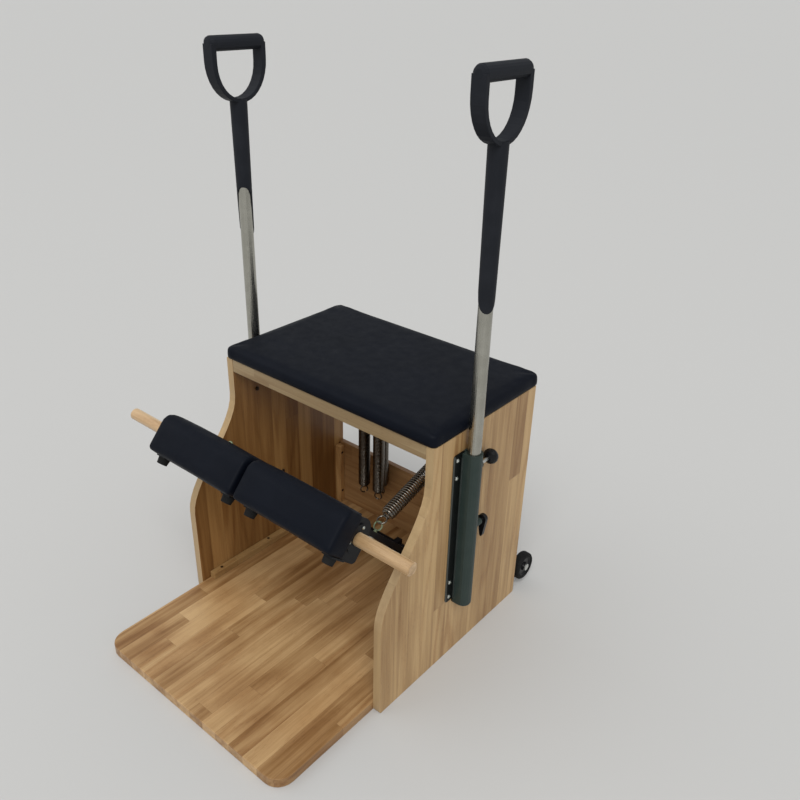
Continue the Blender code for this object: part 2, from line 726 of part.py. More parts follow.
def pedal_cushion(name, side, pedal):
    board_ns = (
        PEDAL_PAD_BOTTOM_N + PEDAL_BOARD_INSET,
        PEDAL_PAD_BOTTOM_N + PEDAL_PAD_HEIGHT - PEDAL_BOARD_INSET,
    )
    board_us = (PEDAL_BOARD_U, PEDAL_BOARD_U + PEDAL_BOARD_THICKNESS)
    board_xs = (PEDAL_INNER_X + PEDAL_BOARD_INSET, BRACKET_OUTER_X + BRACKET_SHEET)
    pedal_box(name + "_board", side, board_xs, board_us, board_ns, BLACK_BOARD, pedal)
    half_width = (PEDAL_OUTER_X - PEDAL_INNER_X) / 2
    half_height = PEDAL_PAD_HEIGHT / 2
    middle_n = PEDAL_PAD_BOTTOM_N + half_height
    depth = PEDAL_PAD_DEPTH
    rings = [
        (0.004, 0.0),
        (0.0005, 0.006),
        (0.0, 0.55 * depth),
        (0.002, 0.68 * depth),
        (0.007, 0.80 * depth),
        (0.015, 0.90 * depth),
        (0.028, 0.97 * depth),
        (0.042, depth),
    ]
    cushion(
        name + "_pad", half_width, half_height, PEDAL_PAD_CORNER_RADIUS, rings, VINYL,
        end_share=PEDAL_PAD_END_SHARE, parent=pedal,
        location=pedal_point(side * (PEDAL_INNER_X + half_width), PEDAL_PAD_U, middle_n),
        rotation=(math.pi / 2, 0.0, 0.0),
    )


def dowel_flange(name, side, pedal):
    start_x = BRACKET_OUTER_X + BRACKET_SHEET + GAP
    item = rod(
        name + "_dowel_flange",
        pedal_point(side * start_x, DOWEL_U, DOWEL_N),
        pedal_point(side * (start_x + DOWEL_FLANGE_THICKNESS), DOWEL_U, DOWEL_N),
        DOWEL_FLANGE_RADIUS, BLACK_STEEL, pedal,
    )
    dowel_bore(name + "_dowel_flange_bore", item, pedal, DOWEL_RADIUS + RUNNING_GAP)


def pedal_eye(name, side, arms):
    """The eye bolt that stands on the outer arm, its hole along the arm."""
    x = side * ARM_EYE_X
    item = ring(
        name + "_eye", pedal_point(x, ARM_EYE_U, EYE_CENTRE_N), (0, 1, 0), EYE_RADIUS, EYE_WIRE_RADIUS,
        ZINC, arms,
    )
    low = ARM_TOP_N + GAP
    shank_top = EYE_CENTRE_N - EYE_RADIUS
    shank = rod(
        name + "_eye_foot", pedal_point(x, ARM_EYE_U, low), pedal_point(x, ARM_EYE_U, shank_top),
        EYE_FOOT_RADIUS, parent=arms, end_radius=EYE_SHANK_RADIUS, segments=12,
    )
    join(item, shank)


def pedal_assembly(name, side):
    pedal = bpy.data.objects.new(name + "_pivot", None)
    PARTS.objects.link(pedal)
    pedal.location = PEDALS_PLACE
    pedal.rotation_euler = PEDAL_TURN
    arms = bpy.data.objects.new(name + "_arms", None)
    PARTS.objects.link(arms)
    arms.parent = pedal
    arms.rotation_euler = ARM_RISE
    pedal_frame(name, side, pedal, arms)
    pedal_bracket(name, side, pedal)
    pedal_bumpers(name, side, pedal)
    pedal_cushion(name, side, pedal)
    dowel_flange(name, side, pedal)
    pedal_eye(name, side, arms)
    return pedal


def dowel(pedal):
    start = pedal_point(DOWEL_LEFT_X - PEDALS_SHIFT_X, DOWEL_U, DOWEL_N)
    end = pedal_point(DOWEL_RIGHT_X - PEDALS_SHIFT_X, DOWEL_U, DOWEL_N)
    item = rod("dowel", start, end, DOWEL_RADIUS, DOWEL_WOOD, pedal)
    round_edges(item, DOWEL_CHAMFER, 1)


# Springs and the eyes that hold them


def rail_eye(name, x, reach):
    """A screw eye on the rear rail, its hole along X."""
    centre = Vector((x, REAR_RAIL_FRONT_Y - reach, RAIL_EYE_Z))
    item = ring(name, centre, (1, 0, 0), EYE_RADIUS, EYE_WIRE_RADIUS, ZINC)
    shank = rod(
        name + "_shank", centre + Vector((0, EYE_RADIUS, 0)), (x, REAR_RAIL_FRONT_Y - GAP, RAIL_EYE_Z),
        EYE_SHANK_RADIUS, end_radius=EYE_FOOT_RADIUS, segments=12,
    )
    join(item, shank)
    return centre


def hook_points(outward, side_way):
    """A hook, from its free tip round to the coil, about a centre at 0 with the coil towards -outward."""
    points = []
    for k in range(HOOK_POINTS + 1):
        angle = math.radians(HOOK_SWEEP_DEG * (k / HOOK_POINTS - 0.5)) + math.radians(12.0)
        points.append(outward * math.cos(angle) + side_way * math.sin(angle))
    return [point * SPRING_HOOK_RADIUS for point in points]


def spring_points(top, bottom, top_way, bottom_way):
    """The route from the hook seated at top to the hook seated at bottom, along the line between them."""
    axis = (bottom - top).normalized()
    length = (bottom - top).length
    across = axis.cross(Vector((1, 0, 0)))
    if across.length < 0.5:
        across = axis.cross(Vector((0, 1, 0)))
    across.normalize()
    around = axis.cross(across)
    coil_radius = SPRING_OUTER_RADIUS - SPRING_WIRE_RADIUS
    end_length = 2 * SPRING_HOOK_RADIUS + SPRING_NECK
    coil_length = length - 2 * end_length
    points = [top + axis * SPRING_HOOK_RADIUS + point for point in hook_points(-axis, top_way)]
    count = SPRING_CURLS * POINTS_PER_CURL
    for k in range(count + 1):
        turn = 2 * math.pi * k / POINTS_PER_CURL
        edge = min(k, count - k) / (POINTS_PER_CURL / 2)
        radius = coil_radius * min(1.0, 0.25 + 0.75 * edge)
        along = end_length + coil_length * k / count
        points.append(top + axis * along + (across * math.cos(turn) + around * math.sin(turn)) * radius)
    last = [bottom - axis * SPRING_HOOK_RADIUS + point for point in hook_points(axis, bottom_way)]
    return points + last[::-1]


def least_self_gap(points):
    """The clearance between stretches of a spring's wire that aren't neighbours along it."""
    least = math.inf
    skip = POINTS_PER_CURL // 2
    for i, point in enumerate(points):
        for other in points[i + skip + 1 : i + 3 * POINTS_PER_CURL]:
            least = min(least, (point - other).length)
    return least - 2 * SPRING_WIRE_RADIUS


def spring(name, top, bottom, top_way, bottom_way, parent_origin):
    points = spring_points(top, bottom, top_way, bottom_way)
    gap = least_self_gap(points)
    print(name, "least gap to itself in mm:", round(gap * 1000, 2))
    assert gap > SPRING_SELF_GAP, name
    curve = bpy.data.curves.new(name, "CURVE")
    curve.dimensions = "3D"
    curve.bevel_depth = SPRING_WIRE_RADIUS
    curve.bevel_resolution = 1
    curve.use_fill_caps = True
    line = curve.splines.new("POLY")
    line.points.add(len(points) - 1)
    for place, point in zip(line.points, points):
        place.co = (*(point - parent_origin), 1.0)
    add_object(name, curve, SPRING_STEEL, location=parent_origin)


def springs():
    x_way = Vector((1, 0, 0))
    drop = Vector((0.0, 0.0, HOOK_SEAT - EYE_RADIUS))
    hanging = (
        (FIRST_HANGING_EYE_X, LONG_RAIL_EYE_REACH),
        (SECOND_HANGING_EYE_X, LONG_RAIL_EYE_REACH),
        (THIRD_HANGING_EYE_X, RAIL_EYE_REACH),
    )
    for number, (x, reach) in enumerate(hanging, 1):
        top = rail_eye("spring_eye_" + str(number), x, reach) + drop
        bottom = top - Vector((0.0, 0.0, SPRING_FREE_LENGTH))
        spring("hanging_spring_" + str(number), top, bottom, x_way, x_way, top)
    eye_centre = rail_eye("spring_eye_4", ACTIVE_RAIL_EYE_X, RAIL_EYE_REACH)
    turn = PEDAL_TURN.to_matrix() @ ARM_RISE.to_matrix()
    arm_eye = PEDALS_PLACE + turn @ pedal_point(ARM_EYE_X, ARM_EYE_U, EYE_CENTRE_N)
    pull = (eye_centre - arm_eye).normalized()
    arm_wire = PEDALS_PLACE + turn @ pedal_point(ARM_EYE_X, ARM_EYE_U, EYE_CENTRE_N + EYE_RADIUS)
    bottom = arm_wire - pull * HOOK_SEAT
    top = eye_centre - pull * (EYE_RADIUS - HOOK_SEAT)
    around = (top - bottom).normalized().cross(x_way).normalized()
    spring("active_spring", top, bottom, x_way, around, top)


# Handle receivers and handles


def handle_place(side, z=0.0):
    return Vector((side * HANDLE_X, HANDLE_YS[side], z))


def receiver(name, side):
    """A half-round steel tube with a flange, screwed to the outside of the side panel."""
    arc_steps = 10
    outline = [Vector((0.0, RECEIVER_RADIUS)), Vector((0.0, -RECEIVER_RADIUS))]
    for k in range(arc_steps + 1):
        angle = -math.pi / 2 + math.pi * k / arc_steps
        outline.append(
            Vector((RECEIVER_RADIUS * (1 + math.cos(angle)), RECEIVER_RADIUS * math.sin(angle)))
        )
    outline = [Vector((side * point.x, point.y)) for point in outline]
    middle = Vector((side * RECEIVER_BASE_X, HANDLE_YS[side], (RECEIVER_TOP_Z + RECEIVER_BOTTOM_Z) / 2))
    shell = plate(name + "_receiver", [outline], RECEIVER_HEIGHT, GREY_STEEL, location=middle)
    round_bottom(shell, RECEIVER_HEIGHT)
    low_y = HANDLE_YS[side] - FLANGE_HALF_WIDTH
    high_y = HANDLE_YS[side] + FLANGE_HALF_WIDTH
    corners = [(low_y, FLANGE_BOTTOM_Z), (high_y, FLANGE_BOTTOM_Z), (high_y, FLANGE_TOP_Z), (low_y, FLANGE_TOP_Z)]
    flange = plate(
        name + "_flange", [rounded_outline(corners, (FLANGE_CORNER_RADIUS,) * 4, steps=2)],
        FLANGE_THICKNESS, location=(side * (RECEIVER_BASE_X + FLANGE_THICKNESS / 2), 0.0, 0.0),
        rotation=FACING_X,
    )
    join(shell, flange)
    for label, z, radius, reach, hole in (
        ("knob", KNOB_Z, KNOB_BOSS_RADIUS, KNOB_BOSS_REACH, KNOB_STEM_RADIUS),
        ("pin", PIN_Z, PIN_BOSS_RADIUS, PIN_BOSS_REACH, PIN_STEM_RADIUS),
    ):
        centre = handle_place(side, z)
        wall = centre + Vector((0.0, TUBE_RADIUS, 0.0))
        end = centre + Vector((0.0, reach, 0.0))
        join(shell, rod(name + "_" + label + "_boss", wall, end, radius, segments=12))
        past = end + Vector((0.0, 0.01, 0.0))
        cut(shell, rod(name + "_" + label + "_hole", centre, past, hole + RUNNING_GAP, segments=12))
    socket = rod(
        name + "_socket", handle_place(side, RECEIVER_BOTTOM_Z + RECEIVER_FLOOR),
        handle_place(side, FLANGE_TOP_Z + 0.01), TUBE_RADIUS + GAP,
    )
    cut(shell, socket)


def round_bottom(item, height):
    """Rounds the lower end of an upright extrusion."""
    bm = bmesh.new()
    bm.from_mesh(item.data)
    low = -height / 2 + GAP
    rim = [edge for edge in bm.edges if all(vert.co.z < low for vert in edge.verts)]
    rim = [edge for edge in rim if edge.calc_face_angle(0.0) > math.radians(45.0)]
    bmesh.ops.bevel(bm, geom=rim, offset=0.004, segments=2, profile=0.5, affect="EDGES")
    bm.to_mesh(item.data)
    bm.free()


def lock_knob(name, side):
    """A round knob on a threaded stem that clamps the handle's tube."""
    start = TUBE_RADIUS + 2 * GAP
    end = KNOB_START + KNOB_LENGTH
    profile = [
        (0.0, end),
        (0.55 * KNOB_RADIUS, end),
        (0.88 * KNOB_RADIUS, end - 0.10 * KNOB_LENGTH),
        (KNOB_RADIUS, end - 0.32 * KNOB_LENGTH),
        (KNOB_RADIUS, end - 0.55 * KNOB_LENGTH),
        (0.86 * KNOB_RADIUS, end - 0.80 * KNOB_LENGTH),
        (KNOB_NECK_RADIUS, KNOB_START),
        (KNOB_STEM_RADIUS, KNOB_START),
        (KNOB_STEM_RADIUS, start),
        (0.0, start),
    ]
    turned(
        name + "_lock_knob", profile, BLACK_PLASTIC, location=handle_place(side, KNOB_Z),
        rotation=(-math.pi / 2, 0.0, 0.0), steps=16,
    )


def pull_pin(name, side):
    """A spring-loaded pin whose drop-shaped pull hangs down behind the receiver."""
    arc = []
    reach = math.acos((PIN_HEAD_RADIUS - PIN_TAIL_RADIUS) / (PIN_TAIL - PIN_TAIL_RADIUS))
    down = -math.pi / 2
    for k in range(10):
        angle = down + reach + (2 * math.pi - 2 * reach) * k / 9
        arc.append(Vector((PIN_HEAD_RADIUS * math.cos(angle), PIN_HEAD_RADIUS * math.sin(angle))))
    tail_centre = Vector((0.0, -(PIN_TAIL - PIN_TAIL_RADIUS)))
    for k in range(4):
        angle = down - reach + 2 * reach * k / 3
        arc.append(tail_centre + Vector((math.cos(angle), math.sin(angle))) * PIN_TAIL_RADIUS)
    centre = handle_place(side, PIN_Z)
    place = centre + Vector((0.0, PIN_HEAD_START + PIN_HEAD_THICKNESS / 2, 0.0))
    item = plate(
        name + "_pull_pin", [arc], PIN_HEAD_THICKNESS, BLACK_PLASTIC, location=place,
        rotation=(math.pi / 2, 0.0, 0.0),
    )
    stem = rod(
        name + "_pull_pin_stem", centre + Vector((0.0, TUBE_RADIUS + 2 * GAP, 0.0)), place,
        PIN_STEM_RADIUS, segments=12,
    )
    join(item, stem)
    round_edges(item, 0.0015, 1)


def handle_tube(name, side):
    inner = TUBE_RADIUS - TUBE_WALL
    profile = [(inner, TUBE_LENGTH), (TUBE_RADIUS, TUBE_LENGTH), (TUBE_RADIUS, 0.0), (inner, 0.0)]
    turned(
        name + "_handle_tube", profile, CHROME, location=handle_place(side, TUBE_BOTTOM_Z), steps=24,
    )


def sleeve_low_z(azimuth, tongue_azimuth):
    """The sleeve's lower rim: a long round tongue on one side and a like arch on the other."""
    lean = math.cos(azimuth - tongue_azimuth)
    return SLEEVE_LOW_MIDDLE_Z - SLEEVE_TONGUE * math.copysign(abs(lean) ** SLEEVE_TONGUE_SHARPNESS, lean)


def sleeve_radius(z):
    share = (z - SLEEVE_LOW_MIDDLE_Z) / (SLEEVE_TOP_Z - SLEEVE_LOW_MIDDLE_Z)
    return SLEEVE_LOW_RADIUS + (SLEEVE_TOP_RADIUS - SLEEVE_LOW_RADIUS) * max(0.0, share)


def half_ellipse(half_width, centre_z, bottom_z, steps):
    """Points down the right-hand side of a hanging half ellipse, to its lowest point."""
    points = []
    for k in range(steps + 1):
        angle = math.pi / 2 * k / steps
        y = half_width * math.cos(angle)
        points.append(Vector((y, centre_z - (centre_z - bottom_z) * math.sin(angle))))
    return points


def mirrored_outline(right):
    return right + [Vector((-point.x, point.y)) for point in right[::-1] if point.x > GAP]


def grip_outlines():
    """The grip's closed D, from the middle of its top bar down to the sleeve, and its hole."""
    bar_z = GRIP_TOP_Z - GRIP_BAR_RADIUS
    outer = half_ellipse(GRIP_HALF_WIDTH, GRIP_SHOULDER_Z, GRIP_BOTTOM_Z, 9)
    inner = half_ellipse(GRIP_HALF_WIDTH - GRIP_SIDE_WIDTH, GRIP_HOLE_SHOULDER_Z, GRIP_HOLE_BOTTOM_Z, 8)
    outer = [Vector((GRIP_HALF_WIDTH, bar_z))] + outer
    inner = [Vector((GRIP_HALF_WIDTH - GRIP_SIDE_WIDTH, bar_z - GRIP_BAR_RADIUS / 2))] + inner
    return [mirrored_outline(outer), mirrored_outline(inner)]


def handle_grip(name, side, tongue_azimuth):
    """A moulded D grip whose sleeve is pushed over the handle's tube."""
    segments = 24
    bm = bmesh.new()
    bmesh.ops.create_cone(
        bm, cap_ends=False, segments=segments, radius1=SLEEVE_LOW_RADIUS, radius2=SLEEVE_TOP_RADIUS,
        depth=SLEEVE_TOP_Z - SLEEVE_LOW_MIDDLE_Z,
    )
    for vert in bm.verts:
        if vert.co.z > 0.0:
            vert.co.z = SLEEVE_TOP_Z
            continue
        azimuth = math.atan2(vert.co.x, -vert.co.y)
        z = sleeve_low_z(azimuth, tongue_azimuth)
        radius = sleeve_radius(z)
        vert.co = Vector((radius * math.sin(azimuth), -radius * math.cos(azimuth), z))
    place = handle_place(side)
    sleeve = mesh_object(name + "_grip", bm, GRIP_RUBBER, location=place)
    smooth(sleeve)
    wall = sleeve.modifiers.new("wall", "SOLIDIFY")
    wall.thickness = SLEEVE_LOW_RADIUS - TUBE_RADIUS - GAP
    wall.offset = -1.0
    handle = plate(name + "_grip_d", grip_outlines(), GRIP_THICKNESS, location=place, rotation=FACING_X)
    round_edges(handle, GRIP_EDGE_ROUNDING)
    plug = rod(
        name + "_grip_plug", place + Vector((0, 0, TUBE_TOP_Z + GAP)), place + Vector((0, 0, SLEEVE_TOP_Z)),
        SLEEVE_TOP_RADIUS - 0.0005, segments=segments,
    )
    bar_place = place + Vector((0.0, 0.0, GRIP_TOP_Z - GRIP_BAR_RADIUS))
    bar_reach = Vector((0.0, GRIP_HALF_WIDTH + GAP, 0.0))
    bar = rod(name + "_grip_bar", bar_place - bar_reach, bar_place + bar_reach, GRIP_BAR_RADIUS, segments=18)
    round_edges(bar, GRIP_BAR_ROUNDING)
    join(sleeve, plug)
    join(sleeve, handle)
    join(sleeve, bar)


# Rear wheels


def wheel(name, side):
    outer = WHEEL_OUTER_X
    inner = outer - WHEEL_WIDTH
    middle = Vector((side * (outer + inner) / 2, WHEEL_Y, WHEEL_Z))
    half = WHEEL_WIDTH / 2
    tyre_profile = [
        (RIM_RADIUS + GAP, half - 0.001),
        (WHEEL_RADIUS - 0.004, half),
        (WHEEL_RADIUS - 0.001, half - 0.003),
        (WHEEL_RADIUS, half - 0.007),
        (WHEEL_RADIUS, -half + 0.007),
        (WHEEL_RADIUS - 0.001, -half + 0.003),
        (WHEEL_RADIUS - 0.004, -half),
        (RIM_RADIUS + GAP, -half + 0.001),
    ]
    turn = (0.0, math.pi / 2, 0.0)
    turned(name + "_tyre", tyre_profile, BLACK_RUBBER, location=middle, rotation=turn, steps=20)
    bore = WHEEL_AXLE_RADIUS + RUNNING_GAP
    hub_half = half - 0.001
    hub_profile = [
        (bore, hub_half),
        (0.011, hub_half),
        (0.012, hub_half - 0.004),
        (RIM_RADIUS - 0.003, hub_half - 0.004),
        (RIM_RADIUS, hub_half - 0.001),
        (RIM_RADIUS, -hub_half + 0.001),
        (RIM_RADIUS - 0.003, -hub_half + 0.004),
        (0.012, -hub_half + 0.004),
        (0.011, -hub_half),
        (bore, -hub_half),
    ]
    turned(name + "_wheel", hub_profile, ZINC, location=middle, rotation=turn, steps=20)
    wheel_bracket(name, side, inner)


def wheel_bracket(name, side, wheel_inner_x):
    """An angle plate on the back of the chair with the wheel's stub axle."""
    cheek_outer = wheel_inner_x - WHEEL_SIDE_PLAY - 0.001
    cheek_inner = cheek_outer - WHEEL_PLATE
    foot_xs = sorted((side * cheek_outer, side * (cheek_outer - WHEEL_PLATE_WIDTH)))
    foot_y = BODY_BACK_Y + GAP
    item = box(
        name + "_wheel_bracket",
        (foot_xs[0], foot_y, WHEEL_Z - WHEEL_PLATE_HALF_HEIGHT),
        (foot_xs[1], foot_y + WHEEL_PLATE, WHEEL_Z + WHEEL_PLATE_HALF_HEIGHT), BLACK_STEEL,
    )
    outline = [
        Vector((foot_y, WHEEL_Z + WHEEL_PLATE_HALF_HEIGHT)), Vector((foot_y, WHEEL_Z - WHEEL_PLATE_HALF_HEIGHT))
    ]
    steps = 8
    for k in range(steps + 1):
        angle = -math.pi / 2 + math.pi * k / steps
        outline.append(
            Vector((WHEEL_Y, WHEEL_Z)) + Vector((math.cos(angle), math.sin(angle))) * WHEEL_CHEEK_RADIUS
        )
    cheek = plate(
        name + "_wheel_cheek", [outline], WHEEL_PLATE,
        location=(side * (cheek_inner + WHEEL_PLATE / 2), 0.0, 0.0), rotation=FACING_X,
    )
    join(item, cheek)
    axle_end = WHEEL_OUTER_X + 0.0005
    axle = rod(
        name + "_wheel_axle", (side * cheek_inner, WHEEL_Y, WHEEL_Z),
        (side * (axle_end + 0.001), WHEEL_Y, WHEEL_Z), WHEEL_AXLE_RADIUS,
    )
    join(item, axle)
    cap = rod(
        name + "_wheel_cap", (side * axle_end, WHEEL_Y, WHEEL_Z),
        (side * (axle_end + WHEEL_CAP_THICKNESS), WHEEL_Y, WHEEL_Z), WHEEL_CAP_RADIUS, segments=16,
    )
    join(item, cap)


# The whole chair

side_panel("left_side_panel", -1)
side_panel("right_side_panel", 1)
base_board()
boards_and_rails()
seat_pad()
pivot_axle()
axle_brackets()
left_pedal = pedal_assembly("left_pedal", -1)
right_pedal = pedal_assembly("right_pedal", 1)
dowel(right_pedal)
bpy.context.view_layer.update()
springs()
tongue = math.radians(SLEEVE_TONGUE_AZIMUTH_DEG)
for side_name, side_sign, tongue_turn in (("left", -1, tongue + math.pi), ("right", 1, tongue)):
    cleats(side_name, side_sign)
    receiver(side_name, side_sign)
    lock_knob(side_name, side_sign)
    pull_pin(side_name, side_sign)
    handle_tube(side_name, side_sign)
    handle_grip(side_name, side_sign, tongue_turn)
    wheel(side_name, side_sign)
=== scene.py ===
"""Dresses the split-pedal exercise chair: its finishes, upholstery, wound springs and fasteners."""

import math

import bmesh
import bpy
from mathutils import Euler, Matrix, Vector


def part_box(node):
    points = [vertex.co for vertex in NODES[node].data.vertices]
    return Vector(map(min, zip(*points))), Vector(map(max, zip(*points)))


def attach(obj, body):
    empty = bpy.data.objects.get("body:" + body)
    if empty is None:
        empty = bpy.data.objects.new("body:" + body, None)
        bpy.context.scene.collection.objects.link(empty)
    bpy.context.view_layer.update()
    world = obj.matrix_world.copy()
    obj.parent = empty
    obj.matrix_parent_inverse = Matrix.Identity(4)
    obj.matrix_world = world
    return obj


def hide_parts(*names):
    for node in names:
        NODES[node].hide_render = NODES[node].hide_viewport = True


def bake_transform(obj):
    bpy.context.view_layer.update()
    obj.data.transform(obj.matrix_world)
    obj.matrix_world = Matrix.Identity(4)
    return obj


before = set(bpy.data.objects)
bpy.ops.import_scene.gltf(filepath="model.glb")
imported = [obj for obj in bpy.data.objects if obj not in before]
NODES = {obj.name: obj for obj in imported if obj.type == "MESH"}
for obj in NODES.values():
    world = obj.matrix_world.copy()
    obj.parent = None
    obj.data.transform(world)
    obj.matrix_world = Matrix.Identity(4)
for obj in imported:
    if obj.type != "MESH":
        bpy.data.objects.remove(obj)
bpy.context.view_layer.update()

SIDES = {"left": -1, "right": 1}

# Viewpoint of the photograph
CAMERA_PLACE = (1.10198, -1.2615, 1.41682)
CAMERA_YAW_DEG = 39.31
CAMERA_PITCH_DEG = -28.03
CAMERA_ROLL_DEG = 1.53
LENS_MM = 36.24
SENSOR_MM = 36.0

# Pedals, at rest: out along them from the pivot (u), and square to them (n)
PIVOT = Vector((0.008, 0.085, 0.044))
PEDAL_SLOPE_DEG = 41.8
ARM_RISE_DEG = 3.45
PEDAL_TURN = Euler((-math.radians(PEDAL_SLOPE_DEG), 0.0, 0.0)).to_matrix().to_4x4()
ARM_TURN = Euler((-math.radians(PEDAL_SLOPE_DEG + ARM_RISE_DEG), 0.0, 0.0)).to_matrix().to_4x4()
PEDAL_INNER_X = 0.004
PEDAL_OUTER_X = 0.2765
PAD_REAR_U = 0.6451
PAD_BOTTOM_N = -0.0297
PAD_HEIGHT = 0.094
PAD_DEPTH = 0.057
DOWEL_U = 0.6135
DOWEL_N = 0.0163
ARM_EYE_X = 0.232
ARM_EYE_U = 0.521
ARM_THICKNESS = 0.012
EYE_CENTRE_N = 0.0197
FLANGE_SCREW_CIRCLE = 0.0235
FLANGE_SCREW_COUNT = 3
FLANGE_SCREW_TURN_DEG = 90.0
FLANGE_SCREW_RADIUS = 0.0036
FLANGE_SCREW_HEIGHT = 0.0020
FLANGE_FACE_X = 0.2633
EYE_NUT_RADIUS = 0.0065
EYE_NUT_HEIGHT = 0.0045
EYE_NUT_GAP = 0.0002

# Receivers, their flanges and bolts
HANDLE_YS = {"left": -0.084, "right": -0.076}
PANEL_INNER_X = 0.292
FLANGE_OUTER_X = 0.3153
FLANGE_REACH = 0.045
TUBE_FLANGE_REACH = 0.0115
BOLT_REACH = 0.0345
BOLT_HEIGHTS = (0.182, 0.2225, 0.498, 0.541)
BOLT_HEAD_RADIUS = 0.0048
BOLT_HEAD_HEIGHT = 0.0030
BOLT_NUT_RADIUS = 0.0055
BOLT_NUT_HEIGHT = 0.0035
BOLT_NUT_GAP = 0.0001
RIB_INNER_REACH = 0.0180
RIB_OUTER_REACH = 0.0212
RIB_THICKNESS = 0.0036
RIB_EDGE = 0.0007
RIB_BOTTOM_INSET = 0.016
RIB_TOP_INSET = 0.012
KNOB_START = 0.052
STEM_MARGIN = 0.0005

# Screws of the cleats and the wheel brackets
CLEAT_SCREW_HEIGHTS = (0.060, 0.190)
CLEAT_SCREW_SHARES = (0.08, 0.50, 0.92)
CLEAT_SCREW_RADIUS = 0.0038
CLEAT_SCREW_HEIGHT = 0.0012
WHEEL_PLATE_STAND = 0.0043
WHEEL_SCREW_XS = (0.240, 0.268)
WHEEL_SCREW_HEIGHTS = (0.034, 0.066)
WHEEL_SCREW_RADIUS = 0.0042
WHEEL_SCREW_HEIGHT = 0.0024
BRIGHT_AXLE_X = 0.3125

# A round-headed screw and a nut, as shares of their radius or height
WASHER_SHARE = 1.45
WASHER_THICKNESS = 0.0009
HEAD_WALL_SHARE = 0.35
HEAD_TOP_SHARE = 0.62
RECESS_RIM_SHARE = 0.16
RECESS_DEPTH_SHARE = 0.6
NUT_EDGE_SHARE = 0.14
BOLT_END_SHARE = 0.5
BOLT_TIP_SHARE = 0.42
BOLT_END_STAND = 0.0022

# Cushions
SEAT_INSET = 0.003
SEAT_CORNER = 0.020
SEAT_TOP_EDGE = 0.009
SEAT_MESH = 0.006
SEAT_HELD_HEIGHT = 0.004
SEAT_SWELL = 0.0030
SEAT_PRESSURE = 3.0
SEAT_PLEAT_DEPTH = 0.0010
SEAT_PLEAT_REACH = 0.014
SEAT_PLEATS = 2
PLEAT_START = 0.004
PLEAT_FADE = 1.3
PEDAL_INSET = 0.002
PEDAL_MESH = 0.004
PEDAL_HELD_HEIGHT = 0.005
PEDAL_SWELL = 0.0020
PEDAL_PRESSURE = 4.0
PEDAL_TOP_CORNER = 0.014
PEDAL_BOTTOM_CORNER = 0.002
PEDAL_INNER_CORNER = 0.004
PEDAL_TOP_EDGE = 0.026
PEDAL_BOTTOM_EDGE = 0.010
PEDAL_END_EDGE = 0.006
OUTLINE_EXTRA = 0.02
COVER_STEPS = 15
CORNER_SEGMENTS = 6
TOUCH = 0.0001

# Springs
EYE_RADIUS = 0.0094
WIRE_RADIUS = 0.0020
COIL_RADIUS = 0.0140
HOOK_RADIUS = 0.0100
HOOK_SEAT = 0.0041
CONE_LENGTH = 0.013
CONE_END_SHARE = 0.30
SPRING_LENGTH = 0.406
CURL_PITCH = 0.0043
STRETCHED_PITCH = 0.0062
STEPS_PER_CURL = 16
WIRE_SIDES = 8
HOOK_SWEEP_DEG = 335.0
HOOK_STEPS = 28
HOOK_LEAN_DEG = 12.0
HOOK_TWIST_DEG = 35.0
HANGING_EYES = ((-0.1486, 0.1195, 0.545), (-0.097, 0.1195, 0.545), (-0.109, 0.150, 0.545))
ACTIVE_EYE = (0.230, 0.150, 0.545)

# Floor and light
FLOOR_RADIUS = 400.0
FLOOR_COLOUR = (0.53, 0.525, 0.51, 1.0)
FLOOR_ROUGHNESS = 0.55
SKY_COLOUR = (0.97, 0.985, 1.0, 1.0)
SEEN_SKY_COLOUR = (0.80, 0.81, 0.81, 1.0)
SKY_STRENGTH = 0.62

# Colours, as linear red, green and blue
PALE_OAK = (0.560, 0.375, 0.178)
DEEP_OAK = (0.265, 0.140, 0.047)
END_OAK = (0.62, 0.46, 0.25)
RING_TINT = (0.60, 0.45, 0.30, 1.0)
FIBRE_TINT = (0.58, 0.45, 0.32, 1.0)
PORE_TINT = (0.35, 0.22, 0.13, 1.0)
STAIN_TINT = (0.62, 0.50, 0.38, 1.0)
GLUE_TINT = (0.30, 0.19, 0.11, 1.0)
CREASE_TINT = (0.3, 0.3, 0.34, 1.0)
RECEIVER_GREEN = (0.0260, 0.0400, 0.0355, 1.0)
RECEIVER_RUBBED = (0.042, 0.058, 0.052, 1.0)
FLANGE_BLACK = (0.0014, 0.0021, 0.0019, 1.0)
FLANGE_RAISED = (0.0030, 0.0042, 0.0038, 1.0)
# Painted highlight for the flange's outer edge, where it catches the light
FLANGE_RIM_HIGHLIGHT = (0.080, 0.088, 0.082, 1.0)
PAINT_BLACK = (0.0045, 0.0055, 0.0075, 1.0)
PLASTIC_BLACK = (0.0055, 0.0055, 0.0062, 1.0)
PLASTIC_RUBBED = (0.012, 0.012, 0.013, 1.0)
BARE_ZINC = (0.60, 0.61, 0.58, 1.0)

# How long and fine the wood's marks are: cycles per metre across, along and into a board
FLAME_GRAIN = (13.0, 1.5, 13.0)
FINE_GRAIN = (60.0, 3.0, 60.0)
FIBRE_GRAIN = (950.0, 14.0, 950.0)
STREAK_GRAIN = (75.0, 2.4, 75.0)
PORE_GRAIN = (1500.0, 70.0, 1500.0)
CLOUD_GRAIN = (11.0, 1.6, 11.0)
STAIN_SCALE = 5.5
RING_COUNT = 42.0
RING_WAVER = 4.0
RING_SHARPNESS = 2.2
SEAM_CORE = 0.0001
SEAM_REACH = 0.0007


# Node trees


def node(tree, kind, values=None, **settings):
    """Adds a node; a value that is a socket is joined, any other is set."""
    made = tree.nodes.new(kind)
    for name, value in settings.items():
        setattr(made, name, value)
    for name, value in (values or {}).items():
        if isinstance(value, bpy.types.NodeSocket):
            tree.links.new(value, made.inputs[name])
        else:
            made.inputs[name].default_value = value
    return made


